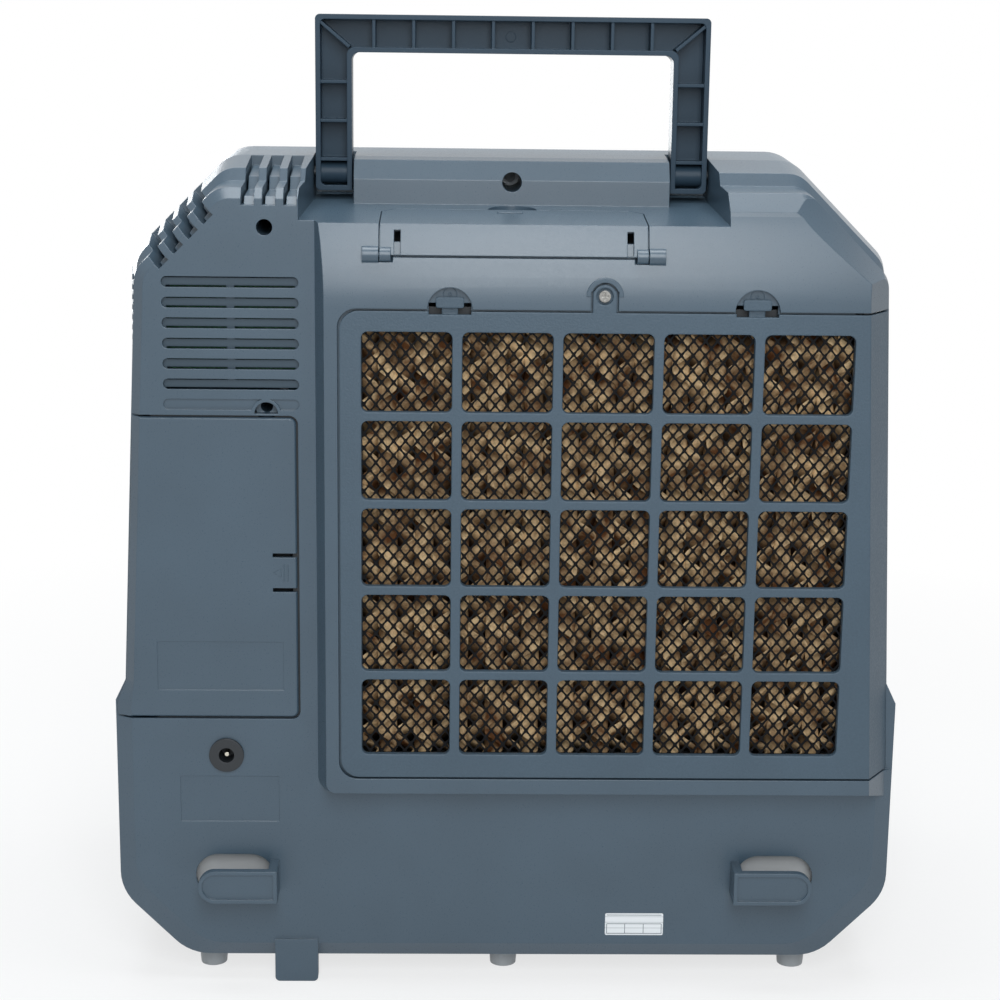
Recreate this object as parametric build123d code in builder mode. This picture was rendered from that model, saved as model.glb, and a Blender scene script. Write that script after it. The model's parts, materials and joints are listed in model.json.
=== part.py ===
from build123d import *
import os
from math import cos, radians, sin, sqrt, tan

os.makedirs("parts", exist_ok=True)

# Portable evaporative air cooler with a fold-down handle, standing on six feet.
# X runs to the right seen from behind, Y from the back to the front, Z up from the floor; millimetres.
# A depth is counted from the outer face of the intake grille towards the front.

# Walls, gaps and fits
WALL = 2.5
SHUT_GAP = 1.1
CORNER_TURN = 45
REST_GAP = 0.3
PIN_PLAY = 0.05

# Body envelope: the rear half grows towards the front in moulded steps
BODY_HALF = 203.0
BASE_HALF = 203.8
BODY_TOP = 435.2
BODY_BOTTOM = 13.0
REAR_WALL_Y = -108.0
SHOULDER_ROUND = 0.345
FLARE_TOP = 166.0
FLARE_FOOT = 155.0
LOW_CHAMFER = 36.0
LOW_RADIUS = 26.0
# Each step: depth behind the rear wall, set-in at the shoulder and at the waist, top drop,
# shoulder chamfer, base set in, bottom raised
REAR_STEPS = (
    (0.0, 19.4, 9.6, 20.2, 38.5, 9.0, 8.5),
    (5.0, 14.4, 4.6, 15.2, 41.5, 0.0, 0.0),
    (26.0, 13.9, 4.2, 13.4, 42.4, 0.0, 0.0),
    (30.0, 12.0, 3.4, 7.1, 45.6, 0.0, 0.0),
    (61.0, 6.0, 1.2, 2.4, 50.8, 0.0, 0.0),
    (98.0, 0.0, 0.0, 0.0, 57.7, 0.0, 0.0),
)
# Each step of the front half: distance in front of the parting line, then the same six values
FRONT_STEPS = (
    (0.4, 0.0, 0.0, 0.0, 57.7, 0.0, 0.0),
    (104.0, 3.0, 1.5, 7.0, 57.7, 1.5, 0.0),
    (124.0, 12.0, 10.0, 15.0, 57.7, 10.0, 6.0),
    (132.0, 28.0, 26.0, 30.0, 57.7, 26.0, 20.0),
)
SPLIT_Y = REAR_WALL_Y + REAR_STEPS[-1][0]
BEVEL_Y = REAR_WALL_Y + REAR_STEPS[1][0]
FRONT_WALL_Y = SPLIT_Y + FRONT_STEPS[-1][0]

# Raised intake block on the back, with the slope above the grille
BLOCK_RISE = 14.0
BLOCK_LEFT = -100.4
BLOCK_BOTTOM = 104.0
BLOCK_DRAFT = 20.2
BLOCK_CORNER = 12.0
EDGE_BEVEL = 9.6
TOP_BEVEL = 7.4
SIDE_BEVEL = 12.6
EDGE_LOW_RISE = 14.8
SLOPE_START = 364.0
SLOPE_RADIUS = 100.0
SLOPE_SWEEP = 26.7
BROW_DEPTH = 13.0
BROW_Z = 417.6
FACE_Y = REAR_WALL_Y - BLOCK_RISE

# Intake grille panel
GRILLE_X = 47.5
GRILLE_Z = 242.0
GRILLE_COLUMNS = 5
GRILLE_ROWS = 5
GRILLE_PITCH_X = 50.0
GRILLE_PITCH_Z = 44.74
GRILLE_HOLE_X = 45.3
GRILLE_HOLE_Z = 40.4
GRILLE_HOLE_RADIUS = 3.5
GRILLE_HOLE_DRAFT = 6.0
PANEL_LEFT = -86.3
PANEL_BOTTOM = 119.5
PANEL_TOP = 362.4
PANEL_CORNER = 9.5
PANEL_THICK = 3.0
SEAT_WIDTH = 5.5
SEAT_THICK = 3.5
TONGUE_X = 45.0
TONGUE_WIDTH = 12.7
TONGUE_SCREW_Z = 370.0
TONGUE_RIM = 2.2
TONGUE_SEAT = 0.8
TONGUE_BORE = 4.2
LATCH_XS = (-31.3, 120.7)
LATCH_RADIUS = 11.25
LATCH_HEAD = (13.8, 5.3)
LATCH_HEAD_CORNER = 1.2
LATCH_HEAD_RISE = 3.75
LATCH_HEAD_DEPTH = 1.2
LATCH_NECK_WIDTH = 8.0
LATCH_NECK_THICK = 2.0
LATCH_NECK_LAP = 0.2
LATCH_SLOT_WIDTH = 21.0
LATCH_SLOT_RISE = 3.4
LATCH_MOUTH_DROP = 2.1
LATCH_DISH_RADIUS = 3.4
LATCH_DISH_RISE = 7.6
LATCH_DISH_SINK = 0.6

# Dust net behind the grille
NET_THICK = 0.8
NET_BORDER = 6.0
NET_STRAND = 2.0
NET_COLUMNS = 12
NET_ROWS = 12

# Wet pad, its frame and the drip tray above it
PAD_DEPTH = 6.5
FRAME_ROOM = 1.0
FRAME_SIDE_ROOM = 10.6
PAD_THICK = 38.0
PAD_FLUTES = 14
PAD_FLUTE_DEPTH = 3.0
FRAME_WALL = 2.0
FRAME_LIP = 3.0
TRAY_HEIGHT = 7.5
TRAY_WALL = 1.8
TRAY_HOLE_RADIUS = 2.0
TRAY_HOLES = 12

# Handle recess in the top
RECESS_HALF = 102.6
RECESS_FLARE = 4.2
RECESS_LIP_DEPTH = 11.0
RECESS_LIP_Z = 404.3
RECESS_SLOPE = 5.8
POCKET_DEPTH = 95.0
SADDLE_HALF = 81.3
SADDLE_DEPTH = 60.0
SADDLE_LEAN = 0.3
SADDLE_LEDGE_Z = 421.9
SADDLE_BROW_RUN = 6.0
SADDLE_BROW_Z = 431.2

# Carry handle
HANDLE_HALF = 101.4
HANDLE_TOP = 504.4
HANDLE_LEG = 18.7
HANDLE_GRIP = 19.0
HANDLE_THICK = 16.0
HANDLE_WALL = 2.5
HANDLE_SKIN = 3.0
HANDLE_FOOT_Z = 415.2
HANDLE_PIVOT_DEPTH = 80.0
HANDLE_PIVOT_Z = 424.0
HANDLE_PIN_RADIUS = 3.0
HANDLE_BOSS_RADIUS = 5.6
HANDLE_PIN_HOLD = 7.5
HANDLE_BOSS_LENGTH = 10.0
HANDLE_RIB = 1.6
HANDLE_RIB_PITCH = 20.4
HANDLE_GRIP_RIBS = 8
HANDLE_LEG_RIBS = 3
HANDLE_LEG_RIB_PITCH = 19.7
HANDLE_LEG_RIB_Z = 450.8
HANDLE_RIB_SINK = 1.0
HANDLE_CORNER = 4.0
HANDLE_CORNER_ANGLE = 40.0

# Fill lid
LID_HALF = 66.0
LID_THICK = 2.2
LID_LOW_Z = 389.0
LID_REACH_DEPTH = 47.0
LID_CORNER = 7.0
LID_PIVOT_DEPTH = 3.7
LID_PIVOT_Z = 389.2
LID_KNUCKLE_RADIUS = 3.5
LID_KNUCKLE_LENGTH = 5.4
LID_PIN_RADIUS = 1.5
LID_PIN_LENGTH = 5.5
LID_BARREL_RADIUS = 4.0
LID_BARREL_LENGTH = 8.0
LID_SLOT_X = 57.4
LID_SLOT_WIDTH = 3.2
LID_SLOT_TOP_Z = 401.0
LID_SLOT_WINDOW = 5.8
MOUTH_HALF = 55.0
MOUTH_BACK_DEPTH = 9.5
MOUTH_FRONT_DEPTH = 42.0
SCOOP_RADIUS = 12.5
SCOOP_SINK = 2.0

# Left column: vents, battery door, charging socket
VENT_X = -140.75
VENT_TOP_Z = 373.7
VENT_PITCH = 10.27
VENT_COUNT = 7
VENT_LENGTH = 68.1
VENT_HEIGHT = 5.4
CORNER_VENT_WIDTH = 6.6
CORNER_VENT_PITCH = 10.5
CORNER_VENT_DEPTH = 4.5
CORNER_VENT_INSET = 8.3
CORNER_VENT_MARGIN = 6.0
CORNER_VENT_SLIT = 1.0
CORNER_VENT_COUNT = 4
TOP_VENT_COUNT = 3
TOP_VENT_X = -121.0
CORNER_VENT_END = 60.0
SIDE_RIB_COUNT = 9
SIDE_RIB_PITCH = 5.3
SIDE_RIB_TOP_Z = 369.0
SIDE_RIB_WIDTH = 2.6
SIDE_RIB_PROUD = 0.8
DOOR_RIGHT = -108.0
DOOR_BOTTOM = 147.0
DOOR_TOP = 306.0
DOOR_CORNER = 4.0
DOOR_EDGE = 0.8
DOOR_SNAP_Z = 224.9
DOOR_SNAP_GAP = 18.3
DOOR_SNAP_LENGTH = 13.0
DOOR_SNAP_SLOT = 2.2
LABEL_SINK = 0.4
DOOR_LABEL_SIDE = 22.0
DOOR_LABEL_RIGHT = -116.0
DOOR_LABEL_Z = (162.0, 188.0)
SOCKET_LABEL_X = (-170.5, -119.0)
SOCKET_LABEL_Z = (90.0, 115.0)
SOCKET_X = -146.1
SOCKET_Z = 126.9
SOCKET_FLANGE_RADIUS = 9.0
SOCKET_FLANGE_THICK = 1.6
SOCKET_BARREL_RADIUS = 6.5
SOCKET_LENGTH = 18.0
SOCKET_HOLE_RADIUS = 4.0
SOCKET_HOLE_DEPTH = 12.0
SOCKET_PIN_RADIUS = 1.1
SOCKET_PIN_LENGTH = 10.0
BAY_SIDE = 23.0
BAY_DEPTH = 60.0
BAY_MARGIN = 3.0
BAY_WALL = 2.0
BAY_FLANGE = 3.5
PACK_SIDE_ROOM = 1.5
PACK_DEPTH = 48.0
PACK_CORNER = 4.0
PACK_GRIP_WIDTH = 34.0
PACK_GRIP_HEIGHT = 14.0
BAFFLE_THICK = 1.6
BAFFLE_MARGIN = 2.0
BAFFLE_BAR = 3.9
STANDOFF_RADIUS = 2.5
STANDOFF_LENGTH = 12.0
BOARD_HALF = 38.0
BOARD_SPAN = 48.0
HEATSINK_SIZE = 26.0
HEATSINK_HEIGHT = 16.0
CAPACITOR_RADIUS = 5.0
CAPACITOR_HEIGHT = 18.0

# Cord hooks, stand tab and feet
HOOK_SIDE = 84.4
HOOK_LENGTH = 40.9
HOOK_BOTTOM = 50.9
HOOK_HEIGHT = 17.7
HOOK_REACH = 17.0
HOOK_THICK = 3.0
HOOK_RIM = 2.0
HOOK_RIM_RISE = 1.2
HOOK_ARM = 4.6
WINDOW_MARGIN = 3.0
TAB_LEFT = -122.0
TAB_WIDTH = 22.8
TAB_FOOT_Z = 0.2
TAB_TOP_Z = 24.0
TAB_THICK = 6.5
FOOT_RADIUS = 8.0
FOOT_SIDE = 46.3
FOOT_DEPTH = 39.0
FOOT_HEIGHT = 12.5
FOOT_TAPER = 1.0
FOOT_PAD_RADIUS = 9.5
FOOT_PAD_TOP = 24.0
FRONT_Y = HOOK_REACH - REAR_WALL_Y

# Fan, motor and duct
FAN_RADIUS = 104.0
FAN_TIP_GAP = 4.0
FAN_BLADES = 5
FAN_HUB_RADIUS = 32.0
FAN_HUB_LENGTH = 28.0
FAN_HUB_WALL = 3.0
FAN_HUB_CORE = 10.0
FAN_ROOT_CHORD = 44.0
FAN_TIP_CHORD = 58.0
FAN_BLADE_THICK = 2.6
FAN_ROOT_PITCH = 42.0
FAN_TIP_PITCH = 24.0
FAN_GAP = 6.0
DUCT_WALL = 2.5
DUCT_LENGTH = 46.0
STRUT_WIDTH = 9.0
STRUT_THICK = 4.0
STRUT_COUNT = 4
MOTOR_RADIUS = 38.0
MOTOR_LENGTH = 42.0
SHAFT_RADIUS = 4.0
NUT_RADIUS = 9.0
NUT_LENGTH = 5.0

# Water tank, pump and hose
TANK_SIDE = 33.8
TANK_TOP = 98.0
TANK_CHAMFER = 34.0
TANK_BACK_GAP = 5.5
TANK_FRONT_Y = 91.0
PUMP_X = 95.0
PUMP_Y = 20.0
PUMP_SIZE = 46.0
PUMP_HEIGHT = 38.0
PUMP_CORNER = 5.0
PUMP_SLOT = 3.0
PUMP_SLOTS = 4
HOSE_RADIUS = 5.0
HOSE_BORE = 3.2
HOSE_BEND = 14.0
HOSE_LOW_Z = 112.0
HOSE_SIDE_X = 172.0
HOSE_TOP_Z = 380.0
HOSE_END = (150.0, -95.0, 361.0)

# Front outlet with tilting vanes
OUTLET_WIDTH = 226.0
OUTLET_HEIGHT = 216.0
OUTLET_RADIUS = 8.0
COLLAR_WALL = 2.5
COLLAR_LENGTH = 52.0
VANE_COUNT = 5
VANE_PITCH = 40.0
VANE_CHORD = 34.0
VANE_THICK = 2.4
VANE_PIVOT_Y = 98.0
VANE_PIN_RADIUS = 2.5
VANE_PIN_ROOM = 8.0
VANE_END_GAP = 0.5
CRANK_RADIUS = 12.0
CRANK_PIN_RADIUS = 1.5
CRANK_SLOT = 4.4
CRANK_THICK = 2.5
LINK_THICK = 3.0
LINK_WIDTH = 6.0
GUARD_THICK = 3.0
GUARD_BARS = 15
GUARD_BAR_WIDTH = 2.4
LINK_GAP = 0.6
CRANK_HEIGHT = 10.0

# Control panel on the front
CONTROL_SIDE = 79.0
CONTROL_Z = 270.0
CONTROL_WIDTH = 80.0
CONTROL_HEIGHT = 150.0
CONTROL_RISE = 2.0
CONTROL_RIM = 8.0
BUTTON_PITCH = 36.0
BUTTON_RADIUS = 9.0
BUTTON_FLANGE = 2.0
BUTTON_STEM_RADIUS = 3.0
BUTTON_STEM = 2.0
BOARD_THICK = 1.6
BOARD_DEPTH = 14.0
SWITCH_SIZE = 12.0
SWITCH_HEIGHT = 4.5
SWITCH_PLUNGER = 1.75

# Screws
SCREW_HEAD_RADIUS = 2.9
SCREW_HEAD_THICK = 2.0
SCREW_RADIUS = 1.5
SCREW_CROSS = 0.9
SCREW_CROSS_LENGTH = 3.5
BOSS_RADIUS = 6.0
BOSS_HOLE_RADIUS = 4.0
BOSS_WALL = 2.0
SADDLE_HOLE_RADIUS = 5.0
TIGHT_HOLE_RADIUS = 3.1
MOON_RADIUS = 5.9
MOON_RIM = 1.6
MOON_FLAT_Z = 307.5
BOSS_FLOOR = 4.0
POST_LENGTH = 26.0
POST_RIB = 2.4
POST_RIB_SINK = 2.0
SCREW_REACH = 14.0
LOOSE_HOLE = 0.6
BODY_SCREWS = ((-123.3, 401.0), (-123.4, 310.6))
SADDLE_SCREW_Z = 421.0


def rear_plane(y):
    """Plane facing the back at the given Y, with X to the right and Z up."""
    return Plane(origin=(0, y, 0), x_dir=(1, 0, 0), z_dir=(0, -1, 0))


def side_plane(x):
    """Plane facing +X at the given X, with Y to the right and Z up."""
    return Plane(origin=(x, 0, 0), x_dir=(0, 1, 0), z_dir=(1, 0, 0))


def deep(depth):
    """Y of a depth counted from the outer face of the intake grille."""
    return FACE_Y + depth


def bar(x_span, y_span, z_span):
    """Rectangular bar between the given spans."""
    with BuildPart() as form:
        with BuildSketch(Plane.XY.offset(z_span[0])):
            with Locations(((x_span[0] + x_span[1]) / 2, (y_span[0] + y_span[1]) / 2)):
                Rectangle(x_span[1] - x_span[0], y_span[1] - y_span[0])
        extrude(amount=z_span[1] - z_span[0])
    return form.part


def rod_y(x, z, y_back, y_front, radius):
    """Round rod that runs along Y from y_back to y_front."""
    with BuildPart() as form:
        with BuildSketch(rear_plane(y_front)):
            with Locations((x, z)):
                Circle(radius)
        extrude(amount=y_front - y_back)
    return form.part


def rod_x(x_left, x_right, y, z, radius):
    """Round rod that runs along X from x_left to x_right."""
    with BuildPart() as form:
        with BuildSketch(side_plane(x_left)):
            with Locations((y, z)):
                Circle(radius)
        extrude(amount=x_right - x_left)
    return form.part


def finish(builder, label):
    """Label a finished piece and write it to its own file."""
    builder.part.label = label
    export_step(builder.part, f"parts/{label}.step")


def body_outline(y, step, inset):
    """Rounded outline of the body at one Y, drawn in by inset all round."""
    _, shoulder_in, waist_in, top_drop, shoulder, base_in, bottom_up = step
    half = BODY_HALF - shoulder_in - inset
    waist = BODY_HALF - waist_in - inset
    base = BASE_HALF - base_in - inset
    top = BODY_TOP - top_drop - inset
    bottom = BODY_BOTTOM + bottom_up + inset
    right = (
        (half - shoulder, top),
        (half, top - shoulder),
        (waist, FLARE_TOP),
        (base, FLARE_FOOT),
        (base, bottom + LOW_CHAMFER),
        (base - LOW_CHAMFER, bottom),
    )
    left = [(-x, z) for x, z in reversed(right)]
    with BuildSketch(rear_plane(y)) as outline:
        with BuildLine():
            Polyline(*right, *left, close=True)
        make_face()
        upper = outline.vertices().group_by(Axis.Y)[-2:]
        fillet(upper[0] + upper[1], radius=SHOULDER_ROUND * shoulder)
        lower = outline.vertices().group_by(Axis.Y)[:2]
        fillet(lower[0] + lower[1], radius=LOW_RADIUS)
    return outline.sketch


def rear_form(inset):
    """Envelope of the rear half, drawn in by inset on its outer faces."""
    with BuildPart() as form:
        loft([body_outline(REAR_WALL_Y + step[0] + inset, step, inset) for step in REAR_STEPS], ruled=True)
    return form.part


def front_form(inset):
    """Envelope of the front half, drawn in by inset on its outer faces."""
    with BuildPart() as form:
        loft([body_outline(SPLIT_Y + step[0] - inset, step, inset) for step in FRONT_STEPS], ruled=True)
    return form.part


def recess_floor(depth):
    """Height of the recess floor at a depth."""
    return RECESS_LIP_Z + tan(radians(RECESS_SLOPE)) * (depth - RECESS_LIP_DEPTH)


def slope_depth(z):
    """Depth of the slope above the grille at a height."""
    return SLOPE_RADIUS - sqrt(SLOPE_RADIUS**2 - (z - SLOPE_START) ** 2)


def bevel_section(plane, edge, width, depth, inset):
    """Waste beyond a bevel in one section: from its outer edge in by width at a depth, and on."""
    run = BEVEL_Y - deep(depth)
    slant = sqrt(width**2 + run**2)
    outer = edge - inset * run / slant
    back_y = BEVEL_Y + inset * width / slant
    far_y = back_y - 2 * run
    with BuildSketch(plane) as waste:
        with BuildLine():
            Polyline(
                (outer, back_y),
                (outer - 2 * width, far_y),
                (edge + BLOCK_RISE, far_y),
                (edge + BLOCK_RISE, back_y),
                close=True,
            )
        make_face()
    return waste.sketch


def edge_waste(inset):
    """What the bevels along the top and the right shoulder of the block take away, drawn in by inset."""
    top = EDGE_TOP
    diagonal = sqrt(0.5)
    edge = (EDGE_HALF + top - EDGE_CHAMFER) * diagonal
    face_sum = edge - EDGE_BEVEL
    ends = []
    for z in (top - TOP_BEVEL, EDGE_LOW):
        x = face_sum / diagonal - z
        ends.append(((z - x) * diagonal, slope_depth(z)))
    (high, high_depth), (low, low_depth) = ends
    twist = (high_depth - low_depth) / (high - low)
    sections = []
    for place in (low - BLOCK_RISE, high + BLOCK_RISE):
        depth = low_depth + twist * (place - low)
        origin = (-place * diagonal, 0, place * diagonal)
        plane = Plane(origin=origin, x_dir=(1, 0, 1), z_dir=(-1, 0, 1))
        sections.append(bevel_section(plane, edge, EDGE_BEVEL, depth, inset))
    top_plane = Plane(origin=(SIDE_CLEAR, 0, 0), x_dir=(0, 0, 1), z_dir=(-1, 0, 0))
    with BuildPart() as waste:
        loft(sections, ruled=True)
        top_section = bevel_section(top_plane, top, TOP_BEVEL, slope_depth(top - TOP_BEVEL), inset)
        extrude(top_section, amount=SIDE_CLEAR)
    return waste.part


def block_form(inset, reach=0.0):
    """Raised intake block, drawn in by inset and continued forwards by reach."""
    right = EDGE_HALF - inset
    top = EDGE_TOP - inset
    left = BLOCK_LEFT + inset
    bottom = BLOCK_BOTTOM + inset
    right_foot = right + EDGE_LEAN * (EDGE_TOP - EDGE_CHAMFER - bottom)
    sweep = radians(SLOPE_SWEEP)
    radius = SLOPE_RADIUS - inset
    centre_y = deep(SLOPE_RADIUS)
    inner_y = deep(inset)
    far_y = BEVEL_Y + reach + BLOCK_RISE
    side_slant = sqrt(1 + EDGE_LEAN**2)
    side_edge = (EDGE_HALF + EDGE_LEAN * (EDGE_TOP - EDGE_CHAMFER)) / side_slant
    side_plane_z = Plane(origin=(0, 0, 0), x_dir=(1, 0, EDGE_LEAN), z_dir=(-EDGE_LEAN, 0, 1))
    with BuildPart() as form:
        with BuildSketch(rear_plane(BEVEL_Y)) as foot:
            with BuildLine():
                shoulder = ((right, top - EDGE_CHAMFER), (right - EDGE_CHAMFER, top))
                Polyline((left, bottom), (right_foot, bottom), *shoulder, (left, top), close=True)
            make_face()
            corners = foot.vertices()
            fillet(corners.sort_by(Axis.X)[:2].sort_by(Axis.Y)[0], radius=BLOCK_CORNER)
            near_right = right - EDGE_CHAMFER - WALL
            rounded = foot.vertices().filter_by_position(Axis.X, near_right, right + REST_GAP)
            upper = rounded.filter_by_position(Axis.Y, FLARE_TOP, BODY_TOP)
            fillet(upper, radius=SHOULDER_ROUND * EDGE_CHAMFER)
        extrude(amount=BEVEL_Y - inner_y, taper=BLOCK_DRAFT)
        if reach:
            extrude(foot.sketch, amount=-reach)
        with BuildSketch(side_plane(-SIDE_CLEAR)):
            with BuildLine():
                arc_mid = (centre_y - radius * cos(sweep / 2), SLOPE_START + radius * sin(sweep / 2))
                arc_end = (centre_y - radius * cos(sweep), SLOPE_START + radius * sin(sweep))
                Line((inner_y, 0), (inner_y, SLOPE_START))
                ThreePointArc((inner_y, SLOPE_START), arc_mid, arc_end)
                Polyline(
                    arc_end,
                    (deep(BROW_DEPTH) + inset, BROW_Z - inset),
                    (far_y, BROW_Z - inset),
                    (far_y, 0),
                    (inner_y, 0),
                )
            make_face()
        extrude(amount=2 * SIDE_CLEAR, mode=Mode.INTERSECT)
        side_waste = bevel_section(side_plane_z, side_edge, SIDE_BEVEL, 0, inset)
        extrude(side_waste, amount=BODY_TOP, mode=Mode.SUBTRACT)
    return form.part


def recess_form(grow):
    """Open-topped hollow for the folded handle, grown by a wall thickness."""
    above = BODY_TOP + HANDLE_THICK
    behind = -BLOCK_RISE
    wall_depth = POCKET_DEPTH + grow
    half = RECESS_HALF + grow
    lip_half = half + RECESS_FLARE
    narrow_depth = HANDLE_PIVOT_DEPTH - HANDLE_THICK / 2
    saddle_half = SADDLE_HALF - grow
    saddle_foot = SADDLE_DEPTH + grow
    with BuildPart() as form:
        with BuildSketch(side_plane(-lip_half)):
            with BuildLine():
                Polyline(
                    (deep(behind), recess_floor(behind) - grow),
                    (deep(wall_depth), recess_floor(wall_depth) - grow),
                    (deep(wall_depth), above),
                    (deep(behind), above),
                    close=True,
                )
            make_face()
        extrude(amount=2 * lip_half)
        with BuildSketch(Plane.XY):
            with BuildLine():
                side = (
                    (lip_half, deep(behind)),
                    (lip_half, deep(RECESS_LIP_DEPTH)),
                    (half, deep(narrow_depth)),
                    (half, deep(wall_depth)),
                )
                Polyline(*side, *((-x, y) for x, y in reversed(side)), close=True)
            make_face()
        extrude(amount=above, mode=Mode.INTERSECT)
        with BuildSketch(side_plane(-saddle_half)):
            with BuildLine():
                brow_depth = saddle_foot + SADDLE_LEAN + SADDLE_BROW_RUN
                Polyline(
                    (deep(saddle_foot), recess_floor(saddle_foot) - HANDLE_THICK),
                    (deep(saddle_foot), recess_floor(saddle_foot)),
                    (deep(saddle_foot + SADDLE_LEAN), SADDLE_LEDGE_Z),
                    (deep(brow_depth), SADDLE_BROW_Z),
                    (deep(brow_depth + HANDLE_THICK), above + HANDLE_THICK),
                    (deep(wall_depth + HANDLE_THICK), above + HANDLE_THICK),
                    (deep(wall_depth + HANDLE_THICK), recess_floor(saddle_foot) - HANDLE_THICK),
                    close=True,
                )
            make_face()
        extrude(amount=2 * saddle_half, mode=Mode.SUBTRACT)
    return form.part


def lip_depth(inset):
    """Depth at which the slope, drawn in by inset, meets the lowered recess floor."""
    rise = tan(radians(RECESS_SLOPE))
    drop = inset / cos(radians(RECESS_SLOPE))
    base = recess_floor(0) - drop - SLOPE_START
    a = 1 + rise**2
    b = 2 * base * rise - 2 * SLOPE_RADIUS
    c = SLOPE_RADIUS**2 + base**2 - (SLOPE_RADIUS - inset) ** 2
    return (-b - sqrt(b**2 - 4 * a * c)) / (2 * a)


def skin_form(inset, half):
    """Solid under the slope and the recess floor, drawn in by inset, from -half to half."""
    radius = SLOPE_RADIUS - inset
    centre_y = deep(SLOPE_RADIUS)
    drop = inset / cos(radians(RECESS_SLOPE))
    lip = lip_depth(inset)
    lip_z = recess_floor(lip) - drop
    mid_z = (SLOPE_START + lip_z) / 2
    mid_y = centre_y - sqrt(radius**2 - (mid_z - SLOPE_START) ** 2)
    end_depth = POCKET_DEPTH
    end_z = recess_floor(end_depth) - drop
    with BuildPart() as form:
        with BuildSketch(side_plane(-half)):
            with BuildLine():
                ThreePointArc((deep(inset), SLOPE_START), (mid_y, mid_z), (deep(lip), lip_z))
                Polyline(
                    (deep(lip), lip_z),
                    (deep(end_depth), end_z),
                    (deep(end_depth), SLOPE_START),
                    (deep(inset), SLOPE_START),
                )
            make_face()
        extrude(amount=2 * half)
    return form.part


def lid_band(outer, inner, half, low_z, reach, corner):
    """Bent band between two skins, from low_z on the slope to a depth on the recess floor."""
    with BuildPart() as band:
        add(skin_form(outer, half))
        add(skin_form(inner, half + WALL), mode=Mode.SUBTRACT)
        with BuildSketch(Plane.XY.offset(low_z)) as keep:
            with Locations((0, deep((reach - WALL) / 2))):
                Rectangle(2 * half, reach + WALL)
            chamfer(keep.vertices().group_by(Axis.Y)[-1], length=corner)
        extrude(amount=BODY_TOP - low_z, mode=Mode.INTERSECT)
    return band.part


# Places that several pieces share
HANDLE_PIVOT_Y = deep(HANDLE_PIVOT_DEPTH)
LID_PIVOT_Y = deep(LID_PIVOT_DEPTH)
OPENING_LEFT = PANEL_LEFT + SEAT_WIDTH
OPENING_BOTTOM = PANEL_BOTTOM + SEAT_WIDTH
OPENING_TOP = PANEL_TOP - SEAT_WIDTH
EDGE_HALF = BODY_HALF - REAR_STEPS[1][1]
EDGE_TOP = BODY_TOP - REAR_STEPS[1][3]
EDGE_CHAMFER = REAR_STEPS[1][4]
EDGE_LOW = SLOPE_START + EDGE_LOW_RISE
EDGE_LEAN = (REAR_STEPS[1][1] - REAR_STEPS[1][2]) / (EDGE_TOP - EDGE_CHAMFER - FLARE_TOP)
FRAME_LEFT = OPENING_LEFT + FRAME_ROOM
FRAME_RIGHT = EDGE_HALF - WALL - FRAME_SIDE_ROOM
FRAME_BOTTOM = OPENING_BOTTOM + FRAME_ROOM
FRAME_TOP = OPENING_TOP - FRAME_ROOM
FRAME_BACK_Y = deep(PAD_DEPTH)
FRAME_FRONT_Y = FRAME_BACK_Y + PAD_THICK + 2 * FRAME_WALL
PAD_BACK_Y = FRAME_BACK_Y + FRAME_WALL
DUCT_FRONT_Y = FRAME_FRONT_Y + DUCT_LENGTH
HUB_FRONT_Y = DUCT_FRONT_Y - STRUT_THICK - FAN_GAP
HUB_BACK_Y = HUB_FRONT_Y - FAN_HUB_LENGTH
MOTOR_BORE_Y = DUCT_FRONT_Y + MOTOR_LENGTH / 2
VENT_ZS = [VENT_TOP_Z - VENT_PITCH * i for i in range(VENT_COUNT)]
VANE_ZS = [GRILLE_Z + VANE_PITCH * (i - (VANE_COUNT - 1) / 2) for i in range(VANE_COUNT)]
VANE_LEFT = GRILLE_X - OUTLET_WIDTH / 2 + VANE_END_GAP
VANE_RIGHT = GRILLE_X + OUTLET_WIDTH / 2 - VANE_PIN_ROOM - CRANK_THICK
VANE_PIN_LEFT = GRILLE_X - OUTLET_WIDTH / 2 - COLLAR_WALL
VANE_PIN_RIGHT = GRILLE_X + OUTLET_WIDTH / 2 + COLLAR_WALL
COLLAR_BACK_Y = FRONT_WALL_Y - COLLAR_LENGTH
REAR_INNER_Y = REAR_WALL_Y + WALL
FRONT_INNER_Y = FRONT_WALL_Y - WALL
TANK_FLOOR_Z = BODY_BOTTOM + WALL
SWITCH_BOARD_Y = FRONT_WALL_Y - BOARD_DEPTH
BUTTON_ZS = [CONTROL_Z + BUTTON_PITCH * i for i in (1, 0, -1)]
HALF_GAP = SHUT_GAP / 2
SIDE_CLEAR = max(BODY_HALF, BASE_HALF) + WALL
HOOK_INNER_X = BASE_HALF - HOOK_SIDE
FOOT_X = BASE_HALF - FOOT_SIDE
TANK_HALF = BASE_HALF - TANK_SIDE
CONTROL_X = CONTROL_SIDE - BODY_HALF
BAY_LEFT = BAY_SIDE - BODY_HALF
DOOR_LABEL_X = (DOOR_LABEL_SIDE - BODY_HALF, DOOR_LABEL_RIGHT)
POCKET_Y = deep(PANEL_THICK + REST_GAP)
SCREW_PLACES = [
    (*BODY_SCREWS[0], REAR_WALL_Y, BOSS_HOLE_RADIUS),
    (*BODY_SCREWS[1], REAR_WALL_Y, TIGHT_HOLE_RADIUS),
    (0.0, SADDLE_SCREW_Z, deep(SADDLE_DEPTH), SADDLE_HOLE_RADIUS),
]
FOOT_PLACES = [(x, y) for x in (-FOOT_X, 0.0, FOOT_X) for y in (deep(FOOT_DEPTH), -deep(FOOT_DEPTH))]


def mirrored_rods(inner, outer, y, z, radius):
    """Pair of rods along X, one on each side, between two distances from the middle."""
    return [rod_x(-outer, -inner, y, z, radius), rod_x(inner, outer, y, z, radius)]


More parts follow.
